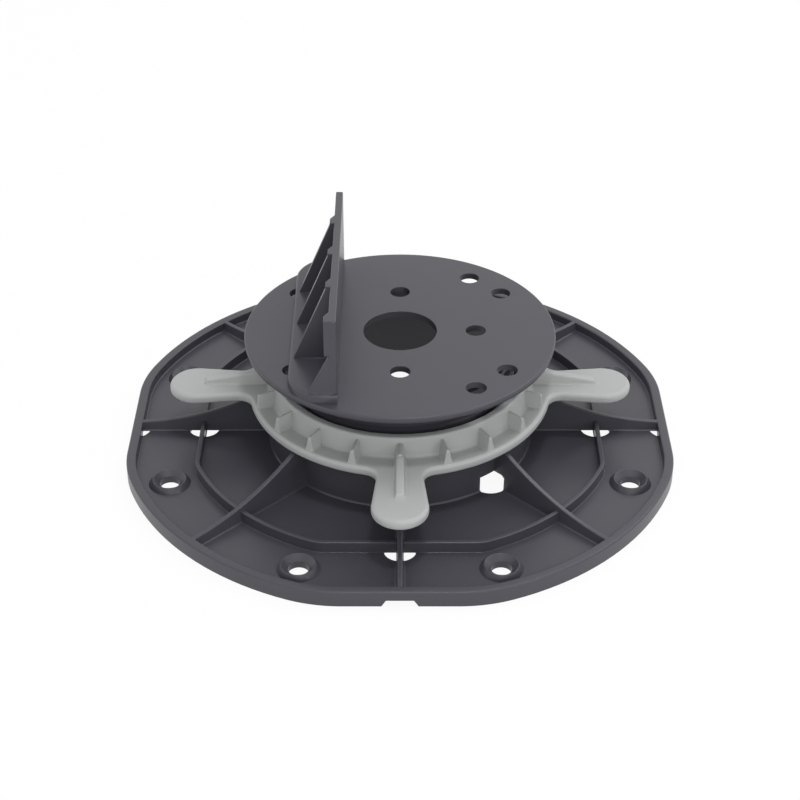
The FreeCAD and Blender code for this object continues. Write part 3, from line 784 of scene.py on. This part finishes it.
@dataclass
class BasePlate:
    """The ribbed base: floor, rim, hub, ribs, drains and screw holes."""

    radius: float = 100.0
    flat: float = 96.4
    corner: float = 49.0
    rim_height: float = 5.9
    rim_width: float = 3.4
    rim_round: float = 0.6
    floor: float = 2.5
    fillet: float = 0.5
    edge: float = 0.3
    seat: float = 0.04
    sides: int = 4
    rib_widths: tuple[float, float] = (2.6, 1.7)
    rib_edge: float = 0.4
    rib_land: float = 50.5
    rib_curve: float = 91.0
    rib_drop: float = 0.6
    ring_rib_flat: float = 70.9
    ring_rib_radius: float = 76.0
    ring_rib_corner: float = 12.0
    ring_rib_thickness: float = 1.6
    ring_rib_top: float = 6.5
    ring_rib_fillet: float = 0.25
    ring_rib_ease: float = 0.3
    hub_height: float = 19.0
    hub_bore: float = 44.3
    hub_outer: float = 47.1
    snap_bore: float = 45.3
    snap_step: float = 14.0
    drain_radius: float = 5.45
    drain_margin: float = 1.0
    notch_radius: float = 6.1
    notch_draft: float = 1.6
    notch_play: float = 0.01
    weep_radius: float = 6.35
    weep_draft: float = 2.0
    weep_height: float = 8.3
    weep_circle: float = 45.5
    weep_angle_deg: float = 46.5
    screw_circle: float = 86.7
    screw_radius: float = 3.5
    screw_seat: float = 2.6
    screw_count: int = 8
    boss_radius: float = 7.3
    boss_crest: float = 5.7
    boss_rise: float = 2.0
    finish: Finish = Finish.DARK

    def build(self, workshop: Workshop) -> bpy.types.Object:
        """Make the base.

        Args:
            workshop: materials and repeating trees.

        Returns:
            The finished piece.
        """
        solid = Solid()
        solid.add_mesh(without(self.tray(), *self.notches(workshop), self.weep()))
        solid.add_mesh(without(self.hub(), self.weep()))
        self.add_ring_rib(solid)
        solid.add_mesh(workshop.around(self.boss(), self.screw_count, math.pi / self.screw_count, self.finish))
        straight = workshop.around(self.rib(self.flat), self.sides, 0.0, self.finish)
        diagonal = workshop.around(self.rib(self.radius), self.sides, math.pi / self.sides, self.finish)
        solid.add_mesh(straight)
        solid.add_mesh(without(diagonal, self.weep()))
        return workshop.finish_piece(solid, "base_plate", self.finish)

    def tray(self) -> bpy.types.Mesh:
        """Make the floor and its rim, with the drains and the seats of the bosses.

        Returns:
            The mesh, before the notches and the hole at the hub's foot are cut.
        """
        outer = edge_path(0.0, self.rim_height, self.edge, self.rim_round)
        inner = fillet_path(self.fillet, self.floor) + outer[-EDGE_STEPS - 1:]
        outline = squared_circle(self.flat, self.radius, self.corner)
        walls = [(outline, outer + [(self.rim_width - depth, height) for depth, height in reversed(inner)])]
        straight = [(0.0, 0.0), (0.0, self.floor)]
        walls.append((hole((self.hub_outer + self.snap_bore) / 2.0, steps=144), straight))
        boss_seat = (self.screw_radius + self.boss_radius) / 2.0
        rows = (
            (self.drain_radius, self.ring_rib_flat, self.sides, 0.0, 48),
            (boss_seat, self.screw_circle, self.screw_count, 0.5, 32),
        )
        for radius, reach, count, offset, steps in rows:
            for order in range(count):
                centre = polar(reach, WHOLE_TURN * (order + offset) / count)
                walls.append((hole(radius, centre, steps), straight))
        solid = Solid()
        solid.add_walls(walls)
        return solid.mesh("tray")

    def hub(self) -> bpy.types.Mesh:
        """Make the tube that the nut turns in.

        Returns:
            The mesh, before the hole at its foot is cut.
        """
        solid = Solid()
        solid.add_turned(rounded([
            Corner(self.snap_bore, self.seat, self.edge),
            Corner(self.hub_outer, self.seat),
            Corner(self.hub_outer, self.floor / 2.0),
            Corner(self.hub_outer + self.fillet, self.floor / 2.0),
            Corner(self.hub_outer + self.fillet, self.floor),
            Corner(self.hub_outer, self.floor + self.fillet, self.fillet),
            Corner(self.hub_outer, self.hub_height, self.edge),
            Corner(self.hub_bore, self.hub_height, self.edge),
            Corner(self.hub_bore, self.snap_step),
            Corner(self.snap_bore, self.snap_step),
        ]))
        return solid.mesh("hub")

    def add_ring_rib(self, solid: Solid) -> None:
        """Add the low rib that runs round the floor.

        Args:
            solid: what it is added to.
        """
        half = self.ring_rib_thickness / 2.0
        small, ease = self.ring_rib_fillet, self.ring_rib_fillet * self.ring_rib_ease
        path = [(-small, self.floor), (-ease, self.floor + ease), (0.0, self.floor + small)]
        path += edge_path(self.floor, self.ring_rib_top, 0.0, self.edge)[1:]
        outer = squared_circle(self.ring_rib_flat + half, self.ring_rib_radius + half, self.ring_rib_corner)
        inner = squared_circle(self.ring_rib_flat - half, self.ring_rib_radius - half, self.ring_rib_corner)
        solid.add_walls([(outer, path), (inner[::-1], path)])

    def rib(self, reach: float) -> Solid:
        """Make a radial rib along +X, hollowed from the hub down to the rim.

        Args:
            reach: where the rim's outer face is.

        Returns:
            The rib.
        """
        land = Vector((self.rib_land, self.hub_height - self.rib_drop))
        foot = Vector((reach - self.rim_width, self.rim_height))
        half = (land - foot) / 2.0
        lift = math.sqrt(self.rib_curve ** 2 - half.length_squared) / half.length
        centre = foot + half + Vector((half.y, -half.x)) * lift
        angles = [math.atan2(point.y - centre.y, point.x - centre.x) for point in (land, foot)]
        level = self.rim_height - self.seat
        crest = [
            Vector(((self.hub_bore + self.hub_outer) / 2.0, land.y)),
            *arc(centre, self.rib_curve, *angles, steps=24)[:-1],
            Vector((foot.x, level)),
            Vector((reach - self.rim_width / 2.0, level)),
        ]
        foot_width, crest_width = self.rib_widths
        drain_half = self.drain_radius + self.drain_margin if reach == self.flat else 0.0
        stations = []
        for point in crest:
            over_drain = abs(point.x - self.ring_rib_flat) < drain_half
            stations.append(Station(point.x, point.y, crest_width, 0.0 if over_drain else self.fillet))
        solid = Solid()
        solid.add_rib(stations, foot_width, self.floor, self.rib_edge)
        return solid

    def boss(self) -> Solid:
        """Make the raised, countersunk ring of the screw hole on +X.

        Returns:
            The ring.
        """
        solid = Solid()
        profile = rounded([
            Corner(self.screw_radius, self.seat),
            Corner(self.boss_crest, self.seat),
            Corner(self.boss_crest, self.floor / 2.0),
            Corner(self.boss_radius, self.floor / 2.0),
            Corner(self.boss_radius, self.floor),
            Corner(self.boss_crest, self.floor + self.boss_rise, self.edge),
            Corner(self.screw_radius, self.screw_seat, self.edge),
        ])
        solid.add_turned(profile, steps=48, place=Matrix.Translation((self.screw_circle, 0.0, 0.0)))
        return solid

    def weep(self) -> bpy.types.Mesh:
        """Make the plug of the hole at the foot of the hub.

        Returns:
            The plug, which widens downwards from the floor's top.
        """
        centre = polar(self.weep_circle, -math.radians(self.weep_angle_deg))
        path = [(-self.weep_draft, -OVERCUT), (0.0, self.floor), (0.0, self.weep_height)]
        plug = Solid()
        plug.add_walls([(circle(self.weep_radius, centre, steps=40), path)])
        return plug.mesh("weep")

    def notches(self, workshop: Workshop) -> list[bpy.types.Mesh]:
        """Make the plugs of the four notches under the rim.

        Args:
            workshop: materials and repeating trees.

        Returns:
            The drafted plugs through the rim as one mesh, and the straight ones inside it as another.
        """
        centre = Vector((self.flat, 0.0))
        slope = self.notch_draft / self.floor
        drafted = [
            (-slope * OVERCUT, -OVERCUT),
            (self.notch_draft, self.floor),
            (self.notch_draft, self.floor + self.notch_play),
        ]
        half = math.acos(self.rim_width / self.notch_radius)
        inside = arc(centre, self.notch_radius, math.pi - half, math.pi + half, steps=20)
        plugs = []
        for outline, path in (
            (circle(self.notch_radius, centre, steps=40), drafted),
            (inside, [(0.0, -OVERCUT), (0.0, self.rim_height / 2.0)]),
        ):
            plug = Solid()
            plug.add_walls([(outline, path)])
            plugs.append(workshop.around(plug, self.sides, 0.0, self.finish))
        return plugs


@dataclass(frozen=True)
class Web:
    """Sizes of a web on the nut.

    They are its crest's end and height there, the slope and rounding of that end, its thickness at the
    foot, its taper in a millimetre of height and the radius of its crest's edges.
    """

    end: float
    height: float
    slope: float
    nose: float
    width: float
    taper: float
    edge: float


@dataclass
class AdjustingRing:
    """The nut: threaded sleeve with its snap bead, collar, gussets and finger arms."""

    flange_bottom: float = 19.2
    flange_top: float = 22.9
    collar_top: float = 30.3
    bore: float = 40.9
    sleeve_outer: float = 44.0
    sleeve_end: float = 5.8
    sleeve_edge: float = 0.3
    bead_outer: float = 45.0
    bead_top: float = 13.8
    bead_height: float = 2.0
    bead_edge: float = 0.2
    mouth_radius: float = 43.2
    mouth_depth: float = 2.3
    collar_foot: float = 46.8
    collar_crown: float = 45.6
    collar_fillet: float = 1.2
    collar_edge: float = 0.9
    flange_radius: float = 53.6
    flange_round: float = 1.4
    arm_circle: float = 72.5
    arm_tip_radius: float = 9.5
    arm_neck: float = 7.2
    arm_root: float = 50.0
    arm_blend: float = 5.0
    arm_count: int = 4
    web_drop: float = 1.6
    web_root: float = 1.0
    web_fillet: float = 0.8
    gusset: Web = Web(end=51.9, height=5.0, slope=0.5, nose=0.8, width=2.7, taper=0.3, edge=0.4)
    gusset_count: int = 20
    spine: Web = Web(end=68.9, height=1.3, slope=0.9, nose=1.1, width=3.4, taper=0.2, edge=0.8)
    thread: Thread = Thread(bottom=7.5, top=26.25, root=40.95, crest=39.5, root_width=3.1, crest_width=1.6)
    seat: float = 0.05
    play: float = 0.02
    finish: Finish = Finish.LIGHT

    def build(self, workshop: Workshop) -> bpy.types.Object:
        """Make the nut.

        Args:
            workshop: materials and repeating trees.

        Returns:
            The finished piece.
        """
        solid = Solid()
        solid.add_turned(self.sleeve())
        path = edge_path(self.flange_bottom, self.flange_top, self.flange_round, self.flange_round, steps=5)
        straight = [(0.0, self.flange_bottom), (0.0, self.flange_top)]
        inside = hole((self.sleeve_outer + self.bore) / 2.0, steps=96)
        solid.add_walls([(self.flange_outline(), path), (inside, straight)])
        for web, count in ((self.gusset, self.gusset_count), (self.spine, self.arm_count)):
            solid.add_mesh(workshop.around(self.web(web), count, 0.0, self.finish))
        solid.add_mesh(workshop.thread(self.thread, self.finish))
        return workshop.finish_piece(solid, "adjusting_ring", self.finish)

    def web(self, web: Web) -> Solid:
        """Make a web along +X, from the collar's crown gently down to its steep end on the flange.

        Args:
            web: its sizes.

        Returns:
            The web.
        """
        root, foot = self.collar_crown - self.web_root, self.flange_top - self.seat
        crest = rounded([
            Corner(root, self.collar_top - self.web_drop),
            Corner(web.end, self.flange_top + web.height, web.nose),
            Corner(web.end + web.slope, self.flange_top),
            Corner(root, self.flange_bottom),
        ], steps=6)[:-1]
        stations = [Station(x, top, web.width - web.taper * (top - foot), self.web_fillet) for x, top in crest]
        solid = Solid()
        solid.add_rib(stations, web.width, foot, web.edge)
        return solid

    def sleeve(self) -> Loop:
        """Draw the section of the sleeve and the collar.

        Returns:
            The closed section, as pairs of radius and height.
        """
        inside, deck = (self.flange_bottom + self.flange_top) / 2.0, self.flange_top + self.play
        skirt = self.collar_foot + 2.0 * self.collar_fillet
        return rounded([
            Corner(self.bore, self.sleeve_end, self.sleeve_edge),
            Corner(self.sleeve_outer, self.sleeve_end, self.sleeve_edge),
            Corner(self.sleeve_outer, self.bead_top - self.bead_height),
            Corner(self.bead_outer, self.bead_top - self.bead_height / 2.0),
            Corner(self.bead_outer, self.bead_top, self.bead_edge),
            Corner(self.sleeve_outer, self.bead_top),
            Corner(self.sleeve_outer, inside),
            Corner(skirt, inside),
            Corner(skirt, deck),
            Corner(self.collar_foot, deck, self.collar_fillet),
            Corner(self.collar_crown, self.collar_top, self.collar_edge),
            Corner(self.mouth_radius, self.collar_top, self.collar_edge),
            Corner(self.bore, self.collar_top - self.mouth_depth, self.collar_edge),
        ])

    def flange_outline(self) -> Loop:
        """Draw the flange and its four arms, seen from above.

        An arm's side is the tangent from its neck to its round tip, and a blend joins it to the flange.

        Returns:
            The outline, counter-clockwise.
        """
        tip = Vector((self.arm_circle, 0.0))
        neck = Vector((self.arm_root, self.arm_neck))
        touch = math.pi - math.atan2(self.arm_neck, self.arm_circle - self.arm_root)
        touch -= math.acos(self.arm_tip_radius / (tip - neck).length)
        outward = polar(1.0, touch)
        touch_point = tip + self.arm_tip_radius * outward
        along = (neck - touch_point).normalized()
        shifted = touch_point + outward * self.arm_blend
        slope = shifted.dot(along)
        reach = self.flange_radius + self.arm_blend
        run = -slope - math.sqrt(slope ** 2 - shifted.length_squared + reach ** 2)
        centre = shifted + along * run
        start = math.atan2(-outward.y, -outward.x)
        end = math.atan2(-centre.y, -centre.x)
        sweep = (end - start + math.pi) % WHOLE_TURN - math.pi
        side = arc(tip, self.arm_tip_radius, 0.0, touch, steps=16)
        side += arc(centre, self.arm_blend, start, start + sweep, steps=10)
        foot = math.atan2(centre.y, centre.x)
        side += arc(MIDDLE, self.flange_radius, foot, QUARTER_TURN / 2.0, steps=14)[1:]
        return squared(side)


@dataclass
class Head:
    """The disc and its threaded stem."""

    disc_bottom: float = 42.0
    disc_top: float = 44.3
    disc_radius: float = 54.4
    disc_round: float = 0.6
    hole_edge: float = 0.2
    centre_hole: float = 12.85
    fixing_hole: float = 3.5
    inner_circle: float = 26.5
    outer_circle: float = 44.4
    outer_angle_deg: float = 10.0
    stem_bore: float = 37.0
    stem_bore_edge: float = 0.3
    stem_root: float = 39.2
    stem_bottom: float = 12.8
    stem_edge: float = 0.5
    stem_fillet: float = 0.8
    stem_overlap: float = 0.5
    thread: Thread = Thread(bottom=15.0, top=43.0, root=39.15, crest=40.6, root_width=3.0, crest_width=1.6)
    finish: Finish = Finish.DARK

    def build(self, workshop: Workshop) -> bpy.types.Object:
        """Make the head.

        Args:
            workshop: materials and repeating trees.

        Returns:
            The finished piece.
        """
        solid = Solid()
        rim = edge_path(self.disc_bottom, self.disc_top, self.disc_round, self.disc_round)
        lip = edge_path(self.disc_bottom, self.disc_top, 0.0, self.hole_edge)
        walls = [(circle(self.disc_radius, steps=144), rim), (hole(self.centre_hole, steps=72), lip)]
        walls += [(hole(self.fixing_hole, centre, steps=40), lip) for centre in self.hole_places()]
        solid.add_walls(walls)
        flare, inside = self.stem_root + self.stem_fillet, self.disc_bottom + self.stem_overlap
        solid.add_turned(rounded([
            Corner(self.stem_bore, self.stem_bottom, self.stem_bore_edge),
            Corner(self.stem_root, self.stem_bottom, self.stem_edge),
            Corner(self.stem_root, self.disc_bottom - self.stem_fillet, self.stem_fillet),
            Corner(flare, self.disc_bottom),
            Corner(flare, inside),
            Corner(self.stem_bore, inside),
        ]))
        solid.add_mesh(workshop.thread(self.thread, self.finish))
        return workshop.finish_piece(solid, "head", self.finish)

    def hole_places(self) -> list[Vector]:
        """Place the small holes: in each quarter one on the inner circle and two on the outer one.

        Returns:
            Their centres.
        """
        places = []
        apart = math.radians(self.outer_angle_deg)
        for quarter in range(4):
            turn = quarter * QUARTER_TURN
            places.append(polar(self.inner_circle, turn))
            for side in (-1.0, 1.0):
                places.append(polar(self.outer_circle, turn + QUARTER_TURN / 2.0 + side * apart))
        return places


@dataclass
class JoistBracket:
    """The clip-on upright that a joist is screwed to."""

    disc_top: float = 44.3
    disc_bottom: float = 42.0
    top: float = 75.5
    face: float = 20.6
    thickness: float = 2.5
    length: float = 90.0
    foot_width: float = 17.0
    foot_length: float = 92.4
    foot_thickness: float = 3.2
    foot_corner: float = 13.5
    foot_round: float = 1.0
    foot_overlap: float = 0.1
    brace_count: int = 3
    brace_pitch: float = 22.0
    brace_thickness: float = 2.0
    brace_widths: tuple[float, float] = (2.0, 1.8)
    brace_reach: float = 13.4
    brace_land: float = 1.1
    end_brace_reach: float = 7.2
    strip_depth: float = 1.6
    strip_height: float = 13.5
    strip_flat: float = 3.4
    strip_slope: float = 2.7
    peg_radius: float = 3.2
    peg_circle: float = 44.4
    peg_angle_deg: float = 55.0
    peg_edge: float = 0.4
    peg_root: float = 1.0
    barb_place: float = 26.5
    barb_play: float = 0.2
    barb_lip: float = 0.7
    barb_length: float = 3.5
    barb_edges: tuple[float, float] = (0.3, 0.2)
    slit_width: float = 1.6
    slit_root: float = 0.5
    slit_reach: float = 9.0
    edge: float = 0.35
    corner: float = 0.8
    fillet: float = 0.5
    seat: float = 0.02
    finish: Finish = Finish.DARK

    def build(self, workshop: Workshop) -> bpy.types.Object:
        """Make the bracket.

        Args:
            workshop: materials and repeating trees.

        Returns:
            The finished piece.
        """
        solid = Solid()
        self.add_foot(solid)
        self.add_upright(solid)
        self.add_braces(solid, workshop)
        self.add_strips(solid, workshop)
        self.add_pegs(solid)
        return workshop.finish_piece(solid, "joist_bracket", self.finish)

    def add_foot(self, solid: Solid) -> None:
        """Add the foot plate.

        Args:
            solid: what it is added to.
        """
        left, right, half = -self.face - self.foot_width, -self.face - self.seat, self.foot_length / 2.0
        outline = rounded([
            Corner(left, -half, self.foot_corner),
            Corner(right, -half),
            Corner(right, half),
            Corner(left, half, self.foot_corner),
        ], steps=16)
        path = edge_path(self.disc_top, self.disc_top + self.foot_thickness, 0.0, self.foot_round, steps=5)
        solid.add_walls([(outline, path)])

    def add_upright(self, solid: Solid) -> None:
        """Add the upright.

        Args:
            solid: what it is added to.
        """
        half = self.length / 2.0
        outline = rounded([
            Corner(-half, self.disc_top),
            Corner(half, self.disc_top),
            Corner(half, self.top, self.corner),
            Corner(-half, self.top, self.corner),
        ])
        path = edge_path(0.0, self.thickness, self.edge, self.edge)
        # The outline's X runs along Y, its Y upwards and the plate's thickness along -X.
        side_on = Matrix(((0, 0, -1, 0), (1, 0, 0, 0), (0, 1, 0, 0), (0, 0, 0, 1)))
        solid.add_walls([(outline, path)], Matrix.Translation((-self.face, 0.0, 0.0)) @ side_on)

    def add_braces(self, solid: Solid, workshop: Workshop) -> None:
        """Add the three tall braces and the low ones at the ends.

        Args:
            solid: what they are added to.
            workshop: materials and repeating trees.
        """
        outward = Matrix.Translation((-self.face, 0.0, 0.0)) @ Matrix.Rotation(math.pi, 4, "Z")
        inside, back = self.thickness / 2.0, self.thickness
        strip_back = back + self.strip_depth
        deck = self.disc_top + self.foot_thickness
        shelf = deck - self.foot_overlap
        slope_top, slope_end = self.top - self.brace_land, shelf - self.foot_round
        slope_run = (back + self.brace_reach - strip_back) / (slope_top - slope_end)
        landing = strip_back + slope_run * (slope_top - deck)
        low_top = self.top - self.strip_height
        tall = ((inside, slope_top), (strip_back, slope_top), (landing, deck))
        low = ((inside, low_top), (back, low_top), (back + self.end_brace_reach, deck))
        end = (self.length - self.brace_thickness) / 2.0 - self.seat
        foot_width, crest_width = self.brace_widths
        for crest, first, count, pitch in (
            (tall, -self.brace_pitch, self.brace_count, self.brace_pitch),
            (low, -end, 2, 2.0 * end),
        ):
            stations = [Station(x, top, crest_width, self.fillet) for x, top in crest]
            brace = Solid()
            brace.add_rib(stations, foot_width, shelf, self.edge, Matrix.Translation((0.0, first, 0.0)) @ outward)
            solid.add_mesh(workshop.along(brace, count, pitch, self.finish))

    def add_strips(self, solid: Solid, workshop: Workshop) -> None:
        """Add the strips that thicken the upright's top, one before each brace but the last.

        Args:
            solid: what they are added to.
            workshop: materials and repeating trees.
        """
        front = -self.length / 2.0 + self.seat
        inside, back = -self.face - self.thickness / 2.0, -self.face - self.thickness
        outline = [
            Vector((inside, front)),
            Vector((inside, front + self.strip_flat + self.strip_slope)),
            Vector((back, front + self.strip_flat + self.strip_slope)),
            Vector((back - self.strip_depth, front + self.strip_flat)),
            Vector((back - self.strip_depth, front)),
        ]
        path = edge_path(self.top - self.strip_height, self.top - self.seat, self.edge, self.edge)
        strip = Solid()
        strip.add_walls([(outline, path)])
        solid.add_mesh(workshop.along(strip, self.brace_count + 1, self.brace_pitch, self.finish))

    def add_pegs(self, solid: Solid) -> None:
        """Add the pegs under the foot: two plain ones, and a slit one with a barb that holds the disc.

        Args:
            solid: what they are added to.
        """
        inside = self.disc_top + self.peg_root
        plain = rounded([
            Corner(0.0, self.disc_bottom),
            Corner(self.peg_radius, self.disc_bottom, self.peg_edge),
            Corner(self.peg_radius, inside),
            Corner(0.0, inside),
        ])
        for side in (-1.0, 1.0):
            centre = polar(self.peg_circle, math.pi - side * math.radians(self.peg_angle_deg))
            solid.add_turned(plain, steps=40, place=Matrix.Translation((*centre, 0.0)))
        barb = self.disc_bottom - self.barb_play
        tip_edge, lip_edge = self.barb_edges
        barbed = rounded([
            Corner(0.0, barb - self.barb_length),
            Corner(self.peg_radius - self.barb_lip, barb - self.barb_length, tip_edge),
            Corner(self.peg_radius + self.barb_lip, barb, lip_edge),
            Corner(self.peg_radius, barb),
            Corner(self.peg_radius, inside),
            Corner(0.0, inside),
        ])
        place = Matrix.Translation((-self.barb_place, 0.0, 0.0))
        half, reach = self.slit_width / 2.0, self.slit_reach
        across = [Vector((-reach, -half)), Vector((reach, -half)), Vector((reach, half)), Vector((-reach, half))]
        peg, slit = Solid(), Solid()
        peg.add_turned(barbed, steps=40, place=place)
        slit.add_walls([(across, [(0.0, self.disc_bottom - reach), (0.0, self.disc_top - self.slit_root)])], place)
        solid.add_mesh(without(peg.mesh("peg"), slit.mesh("slit")))


# Studio


@dataclass(frozen=True)
class Lamp:
    """A square area lamp: its name, place and side in metres, and power in watts."""

    name: str
    place: tuple[float, float, float]
    side: float
    power: float


@dataclass
class Studio:
    """Pale floor, soft lamps and the camera that the photograph was matched with."""

    camera_place: tuple[float, float, float] = (0.0, -0.5422, 0.3803)
    camera_pitch_deg: float = 56.02
    lens_mm: float = 81.88
    clip_start: float = 0.01
    surround: float = 0.62
    floor_reach: float = 4.0
    floor_level: float = -0.1 * MM
    floor_tone: float = 0.95
    floor_roughness: float = 0.9
    floor_glow: float = 0.93
    lamp_aim: tuple[float, float, float] = (0.0, 0.0, 0.03)
    lamps: tuple[Lamp, ...] = (
        Lamp("key", (0.5, 0.45, 0.9), 0.7, 3.1),
        Lamp("top", (0.1, -0.2, 1.2), 0.16, 2.8),
        Lamp("front", (0.1, -0.95, 0.5), 0.8, 1.7),
        Lamp("side", (0.75, -0.75, 0.24), 0.12, 0.9),
    )

    def build(self) -> None:
        """Make the floor, the world, the lamps and the camera."""
        bpy.context.scene.view_settings.view_transform = "Standard"
        self.make_floor()
        self.make_world()
        for lamp in self.lamps:
            self.make_lamp(lamp)
        self.make_camera()

    def make_camera(self) -> None:
        """Make the scene's camera."""
        camera = bpy.data.objects.new("camera", bpy.data.cameras.new("camera"))
        camera.location = self.camera_place
        camera.rotation_euler = Euler((math.radians(self.camera_pitch_deg), 0.0, 0.0))
        camera.data.lens = self.lens_mm
        camera.data.clip_start = self.clip_start
        bpy.context.scene.collection.objects.link(camera)
        bpy.context.scene.camera = camera

    def make_floor(self) -> None:
        """Make the pale floor, which looks white to the rays that show the background."""
        mesh = bpy.data.meshes.new("floor")
        reach, level = self.floor_reach, self.floor_level
        corners = [(-reach, -reach, level), (reach, -reach, level), (reach, reach, level), (-reach, reach, level)]
        mesh.from_pydata(corners, [], [(0, 1, 2, 3)])
        material = bpy.data.materials.new("floor")
        material.use_nodes = True
        nodes, given = Nodes(material.node_tree), material.node_tree.nodes
        shader = given["Principled BSDF"]
        shader.inputs["Base Color"].default_value = (self.floor_tone, self.floor_tone, self.floor_tone, 1.0)
        shader.inputs["Roughness"].default_value = self.floor_roughness
        share = nodes.maths("MULTIPLY", nodes.ray_test(), self.floor_glow)
        glow = nodes.add("ShaderNodeEmission", {"Color": WHITE}).outputs["Emission"]
        mix = nodes.add("ShaderNodeMixShader", {0: share, 1: shader.outputs["BSDF"], 2: glow})
        nodes.feed(given["Material Output"].inputs["Surface"], mix.outputs["Shader"])
        mesh.materials.append(material)
        floor = bpy.data.objects.new("floor", mesh)
        bpy.context.scene.collection.objects.link(floor)

    def make_world(self) -> None:
        """Make the even surround, which is white to the rays that show the background."""
        world = bpy.data.worlds.new("surround")
        world.use_nodes = True
        nodes = Nodes(world.node_tree)
        background = world.node_tree.nodes["Background"]
        background.inputs["Color"].default_value = WHITE
        nodes.feed(background.inputs["Strength"], nodes.spread(nodes.ray_test(), self.surround, 1.0))
        bpy.context.scene.world = world

    def make_lamp(self, lamp: Lamp) -> None:
        """Add a lamp that looks at the object.

        Args:
            lamp: which lamp.
        """
        light = bpy.data.lights.new(lamp.name, "AREA")
        light.size = lamp.side
        light.energy = lamp.power
        holder = bpy.data.objects.new(lamp.name, light)
        holder.location = lamp.place
        holder.rotation_euler = (Vector(lamp.place) - Vector(self.lamp_aim)).to_track_quat("Z", "Y").to_euler()
        bpy.context.scene.collection.objects.link(holder)


def main() -> None:
    """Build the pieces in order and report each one."""
    logging.basicConfig(level=logging.INFO)
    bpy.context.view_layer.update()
    plastics = (
        MouldedPlastic(Finish.DARK, colour=(0.062, 0.0602, 0.0738), roughness=0.33),
        MouldedPlastic(Finish.LIGHT, colour=(0.418, 0.432, 0.426), roughness=0.42),
    )
    workshop = Workshop({plastic.finish: plastic.build() for plastic in plastics})
    for assembly in (BasePlate(), AdjustingRing(), Head(), JoistBracket()):
        assembly.build(workshop)
    Studio().build()


if __name__ == "__main__":
    main()
